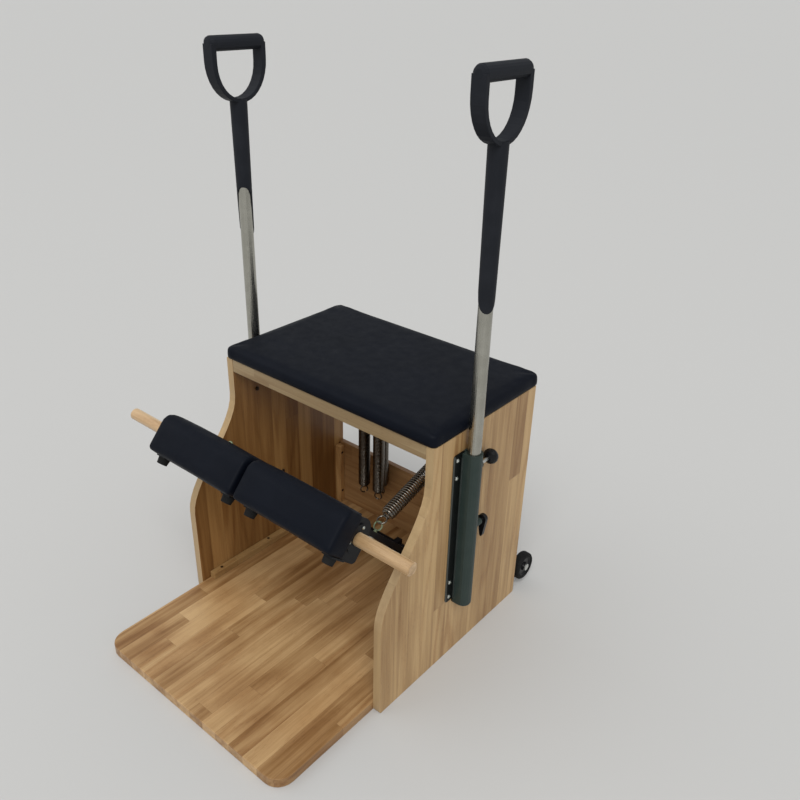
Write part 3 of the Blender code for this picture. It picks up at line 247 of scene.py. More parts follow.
def calc(tree, operation, *values):
    """One sum on values or sockets."""
    return node(tree, "ShaderNodeMath", dict(enumerate(values)), operation=operation).outputs[0]


def plus(tree, first, second):
    return calc(tree, "ADD", first, second)


def times(tree, first, second):
    return calc(tree, "MULTIPLY", first, second)


def blend_colour(tree, share, first, second, kind="MIX"):
    """Goes from the first colour to the second as the share rises from 0 to 1."""
    mix = node(tree, "ShaderNodeMix", {"Factor": share}, data_type="RGBA", blend_type=kind)
    for name, value in (("A", first), ("B", second)):
        socket = next(s for s in mix.inputs if s.name == name and s.type == "RGBA")
        if isinstance(value, bpy.types.NodeSocket):
            tree.links.new(value, socket)
        else:
            socket.default_value = value
    return next(s for s in mix.outputs if s.type == "RGBA")


def tinted(tree, share, colour, tint):
    """Darkens a colour by a tint, where the share says so."""
    return blend_colour(tree, share, colour, tint, "MULTIPLY")


def remap(tree, value, low, high, to_low=0.0, to_high=1.0):
    """Maps one range of values to another, and holds it there."""
    values = {"Value": value, "From Min": low, "From Max": high, "To Min": to_low, "To Max": to_high}
    return node(tree, "ShaderNodeMapRange", values, clamp=True).outputs[0]


def new_group(name, inputs, outputs):
    """A node group with (kind, name, value) inputs and (kind, name) outputs."""
    tree = bpy.data.node_groups.new(name, "ShaderNodeTree")
    kinds = {"value": "NodeSocketFloat", "colour": "NodeSocketColor", "vector": "NodeSocketVector"}
    for kind, label, value in inputs:
        socket = tree.interface.new_socket(label, in_out="INPUT", socket_type=kinds[kind])
        if value is not None:
            socket.default_value = value
    for kind, label in outputs:
        tree.interface.new_socket(label, in_out="OUTPUT", socket_type=kinds[kind])
    return tree, tree.nodes.new("NodeGroupInput").outputs


def close_group(tree, results):
    ends = tree.nodes.new("NodeGroupOutput")
    for name, socket in results.items():
        tree.links.new(socket, ends.inputs[name])
    return tree


def noise(tree, vector, scale, detail=2.0, roughness=0.5):
    values = {"Vector": vector, "Scale": scale, "Detail": detail, "Roughness": roughness}
    return node(tree, "ShaderNodeTexNoise", values).outputs["Fac"]


def stretched(tree, vector, scales):
    """A place scaled axis by axis, so that the marks made from it are drawn out."""
    return node(tree, "ShaderNodeVectorMath", {0: vector, 1: scales}, operation="MULTIPLY").outputs[0]


def wood_group():
    """Boards glued up from long staves, with a flame grain, streaks and pores of its own in each."""
    tree, given = new_group(
        "glued_staves",
        [
            ("value", "Across", 0.0), ("value", "Along", 0.0), ("value", "Depth", 0.0),
            ("value", "Stave Width", 0.045), ("value", "Stave Length", 0.30), ("value", "Seed", 0.0),
            ("colour", "Pale", (0.6, 0.4, 0.2, 1.0)), ("colour", "Deep", (0.3, 0.2, 0.1, 1.0)),
            ("value", "Stave Contrast", 0.5), ("value", "Streak Contrast", 0.5), ("value", "Stain", 0.0),
        ],
        [("colour", "Color"), ("value", "Roughness"), ("value", "Height")],
    )
    across = plus(tree, given["Across"], times(tree, given["Seed"], 0.37))
    column_place = calc(tree, "DIVIDE", across, given["Stave Width"])
    column = calc(tree, "FLOOR", column_place)
    column_key = plus(tree, column, times(tree, given["Seed"], 13.0))
    shift = node(tree, "ShaderNodeTexWhiteNoise", {"W": column_key}, noise_dimensions="1D").outputs["Value"]
    row_place = plus(tree, calc(tree, "DIVIDE", given["Along"], given["Stave Length"]),
                     times(tree, shift, 7.0))
    row = calc(tree, "FLOOR", row_place)
    key = node(tree, "ShaderNodeCombineXYZ", {"X": column_key, "Y": row, "Z": given["Seed"]}).outputs[0]
    chance = node(tree, "ShaderNodeTexWhiteNoise", {"Vector": key}, noise_dimensions="3D")
    parts = node(tree, "ShaderNodeSeparateColor", {"Color": chance.outputs["Color"]})
    place = node(
        tree, "ShaderNodeCombineXYZ",
        {
            "X": plus(tree, across, times(tree, parts.outputs[0], 9.0)),
            "Y": plus(tree, given["Along"], times(tree, parts.outputs[1], 17.0)),
            "Z": plus(tree, given["Depth"], times(tree, parts.outputs[2], 5.0)),
        },
    ).outputs[0]
    field = noise(tree, stretched(tree, place, FLAME_GRAIN), 1.0, 1.5, 0.45)
    fine_field = noise(tree, stretched(tree, place, FINE_GRAIN), 1.0, 2.0)
    phase = plus(tree, times(tree, field, RING_COUNT), times(tree, fine_field, RING_WAVER))
    rings = calc(tree, "POWER", remap(tree, calc(tree, "SINE", phase), -1.0, 1.0), RING_SHARPNESS)
    fibres = noise(tree, stretched(tree, place, FIBRE_GRAIN), 1.0, 3.0, 0.6)
    streaks = noise(tree, stretched(tree, place, STREAK_GRAIN), 1.0, 3.0, 0.62)
    pore_noise = noise(tree, stretched(tree, place, PORE_GRAIN), 1.0, 1.0)
    pores = times(tree, remap(tree, pore_noise, 0.60, 0.70), remap(tree, rings, 0.1, 0.7, 0.35, 1.0))
    clouds = noise(tree, stretched(tree, place, CLOUD_GRAIN), 1.0, 2.0)
    own = times(tree, calc(tree, "SUBTRACT", chance.outputs["Value"], 0.5), given["Stave Contrast"])
    cloudy = times(tree, calc(tree, "SUBTRACT", clouds, 0.5), 1.4)
    streaky = times(tree, calc(tree, "SUBTRACT", streaks, 0.5), given["Streak Contrast"])
    tone = plus(tree, plus(tree, own, cloudy), plus(tree, streaky, 0.42))
    colour = blend_colour(tree, remap(tree, tone, 0.0, 1.0), given["Pale"], given["Deep"])
    ring_share = times(tree, rings, remap(tree, parts.outputs[2], 0.2, 1.0, 0.12, 0.62))
    colour = tinted(tree, ring_share, colour, RING_TINT)
    fibre_share = remap(tree, fibres, 0.30, 0.75, 0.0, 0.30)
    colour = tinted(tree, fibre_share, colour, FIBRE_TINT)
    colour = tinted(tree, times(tree, pores, 0.40), colour, PORE_TINT)
    board = {"X": across, "Y": given["Along"], "Z": given["Depth"]}
    board_place = node(tree, "ShaderNodeCombineXYZ", board).outputs[0]
    stains = remap(tree, noise(tree, board_place, STAIN_SCALE, 3.0, 0.55), 0.36, 0.64)
    colour = tinted(tree, times(tree, stains, given["Stain"]), colour, STAIN_TINT)
    side_gap = times(tree, calc(tree, "PINGPONG", column_place, 0.5), given["Stave Width"])
    end_gap = times(tree, calc(tree, "PINGPONG", row_place, 0.5), given["Stave Length"])
    seam = remap(tree, calc(tree, "MINIMUM", side_gap, end_gap), SEAM_CORE, SEAM_REACH, 1.0, 0.0)
    colour = tinted(tree, times(tree, seam, 0.34), colour, GLUE_TINT)
    roughness = remap(tree, fibres, 0.2, 0.8, 0.34, 0.50)
    hollow = plus(tree, times(tree, pores, 0.6), times(tree, seam, 0.9))
    height = calc(tree, "SUBTRACT", times(tree, fibres, 0.25), hollow)
    return close_group(tree, {"Color": colour, "Roughness": roughness, "Height": height})


def hide_group():
    """The fine pebbled face of upholstery vinyl, a little worn in patches."""
    tree, given = new_group(
        "pebbled_vinyl",
        [
            ("vector", "Vector", None), ("colour", "Base", (0.01, 0.01, 0.02, 1.0)),
            ("colour", "Handled", (0.02, 0.02, 0.03, 1.0)),
        ],
        [("colour", "Color"), ("value", "Roughness"), ("value", "Height")],
    )
    values = {"Vector": given["Vector"], "Scale": 900.0, "Randomness": 0.9}
    pebbles = node(tree, "ShaderNodeTexVoronoi", values, feature="DISTANCE_TO_EDGE").outputs[0]
    creases = remap(tree, pebbles, 0.0, 0.22)
    fine = noise(tree, given["Vector"], 2600.0, 2.0)
    cloud = noise(tree, given["Vector"], 9.0, 3.0)
    handling = noise(tree, given["Vector"], 38.0, 4.0, 0.6)
    colour = blend_colour(tree, remap(tree, cloud, 0.3, 0.7), given["Base"], given["Handled"])
    colour = tinted(tree, remap(tree, creases, 0.0, 1.0, 0.5, 0.0), colour, CREASE_TINT)
    rough = plus(tree, remap(tree, handling, 0.3, 0.75, 0.48, 0.62), times(tree, creases, -0.05))
    height = plus(tree, creases, times(tree, fine, 0.35))
    return close_group(tree, {"Color": colour, "Roughness": rough, "Height": height})


def coat_group():
    """Powder coat or moulded plastic: a fine orange peel, with faint rubbing."""
    tree, given = new_group(
        "powder_coat",
        [
            ("vector", "Vector", None), ("colour", "Base", (0.02, 0.02, 0.02, 1.0)),
            ("colour", "Rubbed", (0.05, 0.05, 0.05, 1.0)), ("value", "Rough", 0.5), ("value", "Grain", 900.0),
        ],
        [("colour", "Color"), ("value", "Roughness"), ("value", "Height")],
    )
    peel = noise(tree, given["Vector"], given["Grain"], 2.0)
    patches = noise(tree, given["Vector"], 24.0, 5.0, 0.62)
    specks = remap(tree, noise(tree, given["Vector"], 420.0, 2.0), 0.66, 0.74)
    share = plus(tree, remap(tree, patches, 0.45, 0.80, 0.0, 0.55), times(tree, specks, 0.25))
    colour = blend_colour(tree, share, given["Base"], given["Rubbed"])
    rough = plus(tree, given["Rough"], remap(tree, patches, 0.3, 0.7, -0.05, 0.07))
    return close_group(tree, {"Color": colour, "Roughness": rough, "Height": peel})


def metal_group():
    """Drawn or turned metal: fine lines along one direction, smears and a little tarnish."""
    tree, given = new_group(
        "drawn_metal",
        [
            ("vector", "Vector", None), ("vector", "Stretch", (900.0, 900.0, 40.0)),
            ("colour", "Base", (0.6, 0.6, 0.6, 1.0)), ("colour", "Tarnish", (0.3, 0.3, 0.3, 1.0)),
            ("value", "Rough", 0.25),
        ],
        [("colour", "Color"), ("value", "Roughness"), ("value", "Height")],
    )
    lines = noise(tree, stretched(tree, given["Vector"], given["Stretch"]), 1.0, 3.0, 0.6)
    smears = noise(tree, given["Vector"], 30.0, 4.0, 0.6)
    colour = blend_colour(tree, remap(tree, smears, 0.42, 0.78, 0.0, 0.6), given["Base"], given["Tarnish"])
    colour = blend_colour(tree, remap(tree, lines, 0.3, 0.8, 0.0, 0.25), colour, given["Tarnish"])
    rough = plus(tree, given["Rough"], remap(tree, lines, 0.25, 0.8, -0.04, 0.10))
    rough = plus(tree, rough, remap(tree, smears, 0.4, 0.8, 0.0, 0.08))
    return close_group(tree, {"Color": colour, "Roughness": rough, "Height": lines})


GLUED_STAVES = wood_group()
PEBBLED_VINYL = hide_group()
POWDER_COAT = coat_group()
DRAWN_METAL = metal_group()


# Finishes


def new_material(name):
    """A material, its node tree, its shader and the place on the object."""
    material = bpy.data.materials.new(name)
    material.use_nodes = True
    tree = material.node_tree
    place = node(tree, "ShaderNodeTexCoord").outputs["Object"]
    return material, tree, tree.nodes["Principled BSDF"], place


def finish_from(tree, shader, group, values, bump_depth, bump_strength):
    """Feeds a shader's colour, roughness and bump from a finish's group."""
    look = node(tree, "ShaderNodeGroup", node_tree=group)
    for name, value in values.items():
        if isinstance(value, bpy.types.NodeSocket):
            tree.links.new(value, look.inputs[name])
        else:
            look.inputs[name].default_value = value
    bump = node(tree, "ShaderNodeBump", {"Strength": bump_strength, "Distance": bump_depth,
                                         "Height": look.outputs["Height"]})
    tree.links.new(look.outputs["Color"], shader.inputs["Base Color"])
    tree.links.new(look.outputs["Roughness"], shader.inputs["Roughness"])
    tree.links.new(bump.outputs[0], shader.inputs["Normal"])
    return look


def varied(colour, share):
    """A colour with its red, green and blue scaled one by one."""
    return tuple(part * scale for part, scale in zip(colour, share)) + (1.0,)


def wood(name, across, along, depth, seed, width=0.045, length=1.3, shade=(1.0, 1.0, 1.0),
         staves=0.35, streaks=0.8, stain=0.0, edge_axis=None, edge_shade=(1.0, 1.0, 1.0)):
    """Lacquered wood whose staves lie side by side in one direction and run along another."""
    material, tree, shader, place = new_material(name)
    axes = node(tree, "ShaderNodeSeparateXYZ", {0: place})
    values = {
        "Across": axes.outputs[across], "Along": axes.outputs[along], "Depth": axes.outputs[depth],
        "Stave Width": width, "Stave Length": length, "Seed": seed, "Pale": varied(PALE_OAK, shade),
        "Deep": varied(DEEP_OAK, shade), "Stave Contrast": staves, "Streak Contrast": streaks,
        "Stain": stain,
    }
    look = finish_from(tree, shader, GLUED_STAVES, values, 0.0004, 0.35)
    if edge_axis is not None:
        normal = node(tree, "ShaderNodeTexCoord").outputs["Normal"]
        face = node(tree, "ShaderNodeSeparateXYZ", {0: normal}).outputs[edge_axis]
        edge = remap(tree, calc(tree, "ABSOLUTE", face), 0.45, 0.75, 0.55, 0.0)
        colour = blend_colour(tree, edge, look.outputs["Color"], varied(END_OAK, edge_shade))
        tree.links.new(colour, shader.inputs["Base Color"])
    shader.inputs["Coat Weight"].default_value = 0.10
    shader.inputs["Coat Roughness"].default_value = 0.28
    shader.inputs["Specular IOR Level"].default_value = 0.35
    return material


def coated(name, base, rubbed, rough, grain=900.0, depth=0.0002, strength=0.22, gloss=0.14):
    """Powder coat, moulded plastic or rubber."""
    material, tree, shader, place = new_material(name)
    values = {"Vector": place, "Base": base, "Rubbed": rubbed, "Rough": rough, "Grain": grain}
    finish_from(tree, shader, POWDER_COAT, values, depth, strength)
    shader.inputs["Specular IOR Level"].default_value = gloss
    return material


def metal(name, base, tarnish, rough, stretch, depth=0.00005, strength=0.15):
    """Bare or plated metal, its lines drawn out along the axis with the least stretch."""
    material, tree, shader, place = new_material(name)
    values = {"Vector": place, "Stretch": stretch, "Base": base, "Tarnish": tarnish, "Rough": rough}
    finish_from(tree, shader, DRAWN_METAL, values, depth, strength)
    shader.inputs["Metallic"].default_value = 1.0
    return material


def vinyl(name, base, handled):
    material, tree, shader, place = new_material(name)
    values = {"Vector": place, "Base": base, "Handled": handled}
    finish_from(tree, shader, PEBBLED_VINYL, values, 0.0003, 0.18)
    shader.inputs["Specular IOR Level"].default_value = 0.09
    return material


def receiver_finish(side, middle_y):
    """Grey-green paint on the tube, black on its flange, whose outer rim carries a painted highlight where
    its edge catches the light.
    """
    material, tree, shader, place = new_material("receiver_paint_" + side)
    values = {
        "Vector": place, "Base": RECEIVER_GREEN, "Rubbed": RECEIVER_RUBBED, "Rough": 0.40, "Grain": 900.0,
    }
    look = finish_from(tree, shader, POWDER_COAT, values, 0.0002, 0.22)
    axes = node(tree, "ShaderNodeSeparateXYZ", {0: place})
    flange = calc(tree, "LESS_THAN", calc(tree, "ABSOLUTE", axes.outputs["X"]), FLANGE_OUTER_X + 0.0002)
    reach = calc(tree, "ABSOLUTE", calc(tree, "SUBTRACT", axes.outputs["Y"], middle_y))
    flange = times(tree, flange, calc(tree, "GREATER_THAN", reach, TUBE_FLANGE_REACH))
    # The flange's outer rim is painted pale: a painted highlight along the edge that catches the light.
    rim = times(tree, flange, remap(tree, reach, FLANGE_REACH - 0.0028, FLANGE_REACH - 0.0018))
    black = blend_colour(tree, look.outputs["Height"], FLANGE_BLACK, FLANGE_RAISED)
    colour = blend_colour(tree, flange, look.outputs["Color"], black)
    colour = blend_colour(tree, times(tree, rim, 0.85), colour, FLANGE_RIM_HIGHLIGHT)
    tree.links.new(colour, shader.inputs["Base Color"])
    shader.inputs["Specular IOR Level"].default_value = 0.22
    return material


X, Y, Z = 0, 1, 2
SHADED_SIDE = (0.69, 0.57, 0.42)
LEFT_PANEL_WOOD = wood(
    "oak_left_panel", Y, Z, X, 3.0, shade=SHADED_SIDE, staves=1.0, streaks=1.5, edge_axis=X,
    edge_shade=(0.88, 0.90, 0.92),
)
RIGHT_PANEL_WOOD = wood(
    "oak_right_panel", Y, Z, X, 7.0, staves=0.45, streaks=1.4, edge_axis=X, edge_shade=(0.60, 0.60, 0.62)
)
BASE_WOOD = wood(
    "oak_base_board", X, Y, Z, 11.0, width=0.043, length=0.45, shade=(1.06, 1.06, 1.10), staves=0.75,
    streaks=1.6, stain=0.62,
)
CROSS_WOOD = wood("oak_cross_boards", Z, X, Y, 5.0, shade=(0.86, 0.76, 0.72), streaks=1.2)
RAIL_WOOD = wood(
    "oak_front_rail", Z, X, Y, 6.0, width=0.05, shade=(0.78, 0.90, 1.10), staves=0.2, streaks=0.7
)
SEAT_BOARD_WOOD = wood("oak_seat_board", Y, X, Z, 9.0, shade=(0.80, 0.84, 0.90))
UPRIGHT_CLEAT_WOOD = wood(
    "oak_upright_cleats", Y, Z, X, 15.0, width=0.2, shade=(1.15, 1.02, 0.90), staves=0.2
)
FLOOR_CLEAT_WOOD = wood(
    "oak_floor_cleats", X, Y, Z, 17.0, width=0.2, shade=(0.85, 0.82, 0.74), staves=0.2
)
DOWEL_WOOD = wood(
    "ash_dowel", Z, X, Y, 21.0, width=0.3, length=2.0, shade=(1.28, 1.38, 1.66), staves=0.1, streaks=1.9
)
DOWEL_WOOD.node_tree.nodes["Principled BSDF"].inputs["Coat Weight"].default_value = 0.55
NAVY_VINYL = vinyl("navy_upholstery", (0.0034, 0.0050, 0.0096, 1.0), (0.0044, 0.0063, 0.0118, 1.0))
GRIP_RUBBER = coated(
    "black_moulded_grip", (0.0122, 0.0139, 0.0182, 1.0), (0.0215, 0.0235, 0.0295, 1.0), 0.56, 1400.0
)
BLACK_PAINT = coated("black_powder_coat", PAINT_BLACK, (0.009, 0.010, 0.0125, 1.0), 0.42, gloss=0.18)
BLACK_BOARD = coated("black_backing_board", PAINT_BLACK, (0.008, 0.009, 0.011, 1.0), 0.62, 500.0)
BLACK_PLASTIC = coated(
    "black_moulded_plastic", PLASTIC_BLACK, PLASTIC_RUBBED, 0.32, 1200.0, gloss=0.30
)
TYRE_RUBBER = coated("black_tyre_rubber", (0.008, 0.008, 0.008, 1.0), (0.020, 0.019, 0.018, 1.0), 0.70, 700.0)
HANDLE_STEEL = metal(
    "polished_handle_tube", (0.430, 0.422, 0.375, 1.0), (0.300, 0.292, 0.255, 1.0), 0.22, (700.0, 700.0, 25.0)
)
ZINC = metal("bright_zinc", (0.68, 0.70, 0.66, 1.0), (0.40, 0.42, 0.36, 1.0), 0.28, (500.0, 500.0, 500.0))
EYE_ZINC = metal(
    "yellow_green_zinc", (0.30, 0.37, 0.24, 1.0), (0.17, 0.20, 0.12, 1.0), 0.30, (500.0, 500.0, 500.0)
)
SPRING_STEEL = metal(
    "oiled_spring_steel", (0.180, 0.162, 0.138, 1.0), (0.080, 0.062, 0.048, 1.0), 0.22, (600.0, 600.0, 600.0)
)
BRONZED_STEEL = metal(
    "bronzed_screws", (0.070, 0.048, 0.034, 1.0), (0.030, 0.022, 0.016, 1.0), 0.35, (500.0, 500.0, 500.0)
)


def partly_bare(name, axis, test, limit, base, rubbed, rough, grain):
    """Black paint or plastic whose far end, along one axis, is bare zinc."""
    material, tree, shader, place = new_material(name)
    values = {"Vector": place, "Base": base, "Rubbed": rubbed, "Rough": rough, "Grain": grain}
    look = finish_from(tree, shader, POWDER_COAT, values, 0.0002, 0.22)
    along = node(tree, "ShaderNodeSeparateXYZ", {0: place}).outputs[axis]
    if axis == X:
        along = calc(tree, "ABSOLUTE", along)
    bare = calc(tree, test, along, limit)
    colour = blend_colour(tree, bare, look.outputs["Color"], BARE_ZINC)
    tree.links.new(colour, shader.inputs["Base Color"])
    tree.links.new(bare, shader.inputs["Metallic"])
    shader.inputs["Specular IOR Level"].default_value = 0.22
    return material


def give(node_name, material):
    """Gives a CAD node its finish."""
    slots = NODES[node_name].material_slots
    for index in range(len(slots)):
        slots[index].material = material


give("left_side_panel", LEFT_PANEL_WOOD)
give("right_side_panel", RIGHT_PANEL_WOOD)
give("base_board", BASE_WOOD)
give("seat_board", SEAT_BOARD_WOOD)
give("back_panel", CROSS_WOOD)
give("rear_rail", CROSS_WOOD)
give("front_rail", RAIL_WOOD)
give("dowel", DOWEL_WOOD)
give("pivot_axle", ZINC)
give("centre_axle_bracket", BLACK_PAINT)
BRACKET_FINISH = partly_bare(
    "bracket_with_bright_axle", X, "GREATER_THAN", BRIGHT_AXLE_X, (0.005, 0.006, 0.008, 1.0),
    (0.010, 0.011, 0.013, 1.0), 0.44, 900.0,
)
for side in SIDES:
    middle_y = HANDLE_YS[side]
    knob = partly_bare(
        side + "_knob_with_steel_stem", Y, "LESS_THAN", middle_y + KNOB_START - STEM_MARGIN,
        PLASTIC_BLACK, PLASTIC_RUBBED, 0.32, 1200.0,
    )
    give(side + "_lock_knob", knob)
    give(side + "_receiver", receiver_finish(side, middle_y))
    give(side + "_corner_cleat", UPRIGHT_CLEAT_WOOD)
    give(side + "_floor_cleat", FLOOR_CLEAT_WOOD)
    give(side + "_axle_bracket", BLACK_PAINT)
    give(side + "_grip", GRIP_RUBBER)
    give(side + "_handle_tube", HANDLE_STEEL)
    give(side + "_pull_pin", BLACK_PLASTIC)
    give(side + "_tyre", TYRE_RUBBER)
    give(side + "_wheel", BLACK_PLASTIC)
    give(side + "_wheel_bracket", BRACKET_FINISH)
    give(side + "_pedal_board", BLACK_BOARD)
    give(side + "_pedal_eye", EYE_ZINC)
    for piece in ("frame", "bracket", "dowel_flange"):
        give(side + "_pedal_" + piece, BLACK_PAINT)
    for end in ("inner", "outer"):
        give(side + "_pedal_" + end + "_bumper", TYRE_RUBBER)
for number in range(1, 5):
    give("spring_eye_" + str(number), ZINC)


# Making pieces


def object_from(name, bm):
    """Turns a bmesh into an object in the scene."""
    mesh = bpy.data.meshes.new(name)
    bm.to_mesh(mesh)
    bm.free()
    item = bpy.data.objects.new(name, mesh)
    bpy.context.scene.collection.objects.link(item)
    return item


def round_off(bm, edges, radius, segments):
    bmesh.ops.bevel(
        bm, geom=edges, offset=radius, segments=segments, profile=0.5, material=-1, affect="EDGES"
    )


def settle(item):
    """Replaces an object's mesh by what its modifiers make of it."""
    graph = bpy.context.evaluated_depsgraph_get()
    mesh = bpy.data.meshes.new_from_object(item.evaluated_get(graph))
    old = item.data
    item.modifiers.clear()
    item.data = mesh
    bpy.data.meshes.remove(old)
    return item


def add_piece(name, bm, material, body, smooth_deg=40.0):
    """Turns a bmesh in the chair's own coordinates into a piece that rides on a body."""
    bmesh.ops.remove_doubles(bm, verts=bm.verts, dist=0.000001)
    bmesh.ops.recalc_face_normals(bm, faces=bm.faces)
    item = object_from(name, bm)
    item.data.shade_smooth()
    item.data.set_sharp_from_angle(angle=math.radians(smooth_deg))
    item.data.materials.append(material)
    if body is not None:
        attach(item, body)
    return item


def facing(place, outward):
    """The matrix that puts a piece's foot at a place, with its Z along a direction."""
    turn = Vector(outward).to_track_quat("Z", "Y").to_matrix().to_4x4()
    return Matrix.Translation(Vector(place)) @ turn


def pedal_place(x, u, n):
    """A place on the pedals: sideways, out along them, and square to them."""
    return PIVOT + PEDAL_TURN @ Vector((x, -u, n))


def add_ring(bm, radius, low, high, matrix, segments=16, top_radius=None):
    """A solid disc or frustum, standing on its matrix's XY plane. Returns its top face."""
    made = bmesh.ops.create_cone(
        bm, cap_ends=True, segments=segments, radius1=radius,
        radius2=radius if top_radius is None else top_radius, depth=high - low,
        matrix=matrix @ Matrix.Translation((0.0, 0.0, (low + high) / 2)),
    )
    faces = {face for vert in made["verts"] for face in vert.link_faces}
    upward = matrix.to_3x3() @ Vector((0.0, 0.0, 1.0))
    for face in faces:
        face.normal_update()
    return max(faces, key=lambda face: face.calc_center_median().dot(upward))


def add_screw(bm, place, outward, radius, height, washer=False):
    """A round-headed screw with a recess in its head, on an optional washer."""
    matrix = facing(place, outward)
    foot = 0.0
    if washer:
        foot = WASHER_THICKNESS
        add_ring(bm, WASHER_SHARE * radius, 0.0, foot, matrix, 20)
    wall_top = foot + HEAD_WALL_SHARE * height
    add_ring(bm, radius, foot, wall_top, matrix)
    top = add_ring(bm, radius, wall_top, foot + height, matrix, top_radius=HEAD_TOP_SHARE * radius)
    bmesh.ops.inset_region(bm, faces=[top], thickness=RECESS_RIM_SHARE * radius)
    pit = bmesh.ops.extrude_discrete_faces(bm, faces=[top])["faces"]
    down = matrix.to_3x3() @ Vector((0.0, 0.0, -RECESS_DEPTH_SHARE * height))
    bmesh.ops.translate(bm, vec=down, verts=list({vert for face in pit for vert in face.verts}))


def add_nut(bm, place, outward, radius, height):
    """A hexagon nut with the bolt's end standing in it."""
    matrix = facing(place, outward)
    rim = list(add_ring(bm, radius, 0.0, height, matrix, 6).edges)
    round_off(bm, rim, NUT_EDGE_SHARE * radius, 2)
    end_height = height + BOLT_END_STAND
    add_ring(bm, BOLT_END_SHARE * radius, height, end_height, matrix, 14, BOLT_TIP_SHARE * radius)


def receiver_bolts(side, sign):
    """Four bolts through each edge strip of the receiver's flange, with their nuts inside the panel."""
    bm = bmesh.new()
    nuts = bmesh.new()
    for z in BOLT_HEIGHTS:
        for reach in (-BOLT_REACH, BOLT_REACH):
            y = HANDLE_YS[side] + reach
            outside = (sign * FLANGE_OUTER_X, y, z)
            inside = (sign * (PANEL_INNER_X - BOLT_NUT_GAP), y, z)
            add_screw(bm, outside, (sign, 0.0, 0.0), BOLT_HEAD_RADIUS, BOLT_HEAD_HEIGHT)
            add_nut(nuts, inside, (-sign, 0.0, 0.0), BOLT_NUT_RADIUS, BOLT_NUT_HEIGHT)
    add_piece(side + "_receiver_bolts", bm, ZINC, "chair")
    add_piece(side + "_receiver_nuts", nuts, BRONZED_STEEL, "chair")


def receiver_rib(side, sign):
    """The raised strips that stiffen the flange along both sides of the tube."""
    low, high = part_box(side + "_receiver")
    bottom = low.z + RIB_BOTTOM_INSET
    top = high.z - RIB_TOP_INSET
    size = (RIB_THICKNESS, RIB_OUTER_REACH - RIB_INNER_REACH, top - bottom)
    bm = bmesh.new()
    for way in (-1, 1):
        made = bmesh.ops.create_cube(bm, size=1.0)["verts"]
        bmesh.ops.scale(bm, vec=size, verts=made)
        middle_x = sign * (FLANGE_OUTER_X + RIB_THICKNESS / 2)
        middle_y = HANDLE_YS[side] + way * (RIB_INNER_REACH + RIB_OUTER_REACH) / 2
        bmesh.ops.translate(bm, vec=(middle_x, middle_y, (top + bottom) / 2), verts=made)
    round_off(bm, bm.edges[:], RIB_EDGE, 2)
    add_piece(side + "_receiver_rib", bm, RIB_PAINT, "chair")


def cleat_screws(side, sign):
    """The screws of the upright cleat and of the floor cleat."""
    bm = bmesh.new()
    low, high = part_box(side + "_corner_cleat")
    inner_x = low.x if sign > 0 else high.x
    for z in CLEAT_SCREW_HEIGHTS:
        place = (inner_x, (low.y + high.y) / 2, z)
        add_screw(bm, place, (-sign, 0.0, 0.0), CLEAT_SCREW_RADIUS, CLEAT_SCREW_HEIGHT)
    low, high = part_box(side + "_floor_cleat")
    for share in CLEAT_SCREW_SHARES:
        place = ((low.x + high.x) / 2, low.y + share * (high.y - low.y), high.z)
        add_screw(bm, place, (0.0, 0.0, 1.0), CLEAT_SCREW_RADIUS, CLEAT_SCREW_HEIGHT)
    add_piece(side + "_cleat_screws", bm, BRONZED_STEEL, "chair")


def pedal_fasteners(side, sign):
    """The dowel flange's three screws and the nut under the spring's eye bolt."""
    bm = bmesh.new()
    for number in range(FLANGE_SCREW_COUNT):
        angle = math.radians(FLANGE_SCREW_TURN_DEG + 360.0 / FLANGE_SCREW_COUNT * number)
        u = DOWEL_U + FLANGE_SCREW_CIRCLE * math.cos(angle)
        n = DOWEL_N + FLANGE_SCREW_CIRCLE * math.sin(angle)
        place = pedal_place(sign * FLANGE_FACE_X, u, n)
        add_screw(bm, place, (sign, 0.0, 0.0), FLANGE_SCREW_RADIUS, FLANGE_SCREW_HEIGHT)
    downward = ARM_TURN.to_3x3() @ Vector((0.0, 0.0, -1.0))
    nut_n = -ARM_THICKNESS / 2 - EYE_NUT_GAP
    under_arm = PIVOT + ARM_TURN @ Vector((sign * ARM_EYE_X, -ARM_EYE_U, nut_n))
    add_nut(bm, under_arm, downward, EYE_NUT_RADIUS, EYE_NUT_HEIGHT)
    add_piece(side + "_pedal_fasteners", bm, ZINC, side + "_pedal")


def wheel_fasteners(side, sign):
    """The four screws of a wheel's bracket, on their washers."""
    plate_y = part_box("back_panel")[1].y + WHEEL_PLATE_STAND
    bm = bmesh.new()
    for x in WHEEL_SCREW_XS:
        for z in WHEEL_SCREW_HEIGHTS:
            place = (sign * x, plate_y, z)
            add_screw(bm, place, (0.0, 1.0, 0.0), WHEEL_SCREW_RADIUS, WHEEL_SCREW_HEIGHT, washer=True)
    add_piece(side + "_wheel_bracket_screws", bm, ZINC, "chair")


RIB_PAINT = coated(
    "black_rib_paint", (0.028, 0.036, 0.033, 1.0), (0.070, 0.084, 0.078, 1.0), 0.34, gloss=0.35
)
for side, sign in SIDES.items():
    receiver_bolts(side, sign)
    receiver_rib(side, sign)
    cleat_screws(side, sign)
    pedal_fasteners(side, sign)
    wheel_fasteners(side, sign)


# Springs


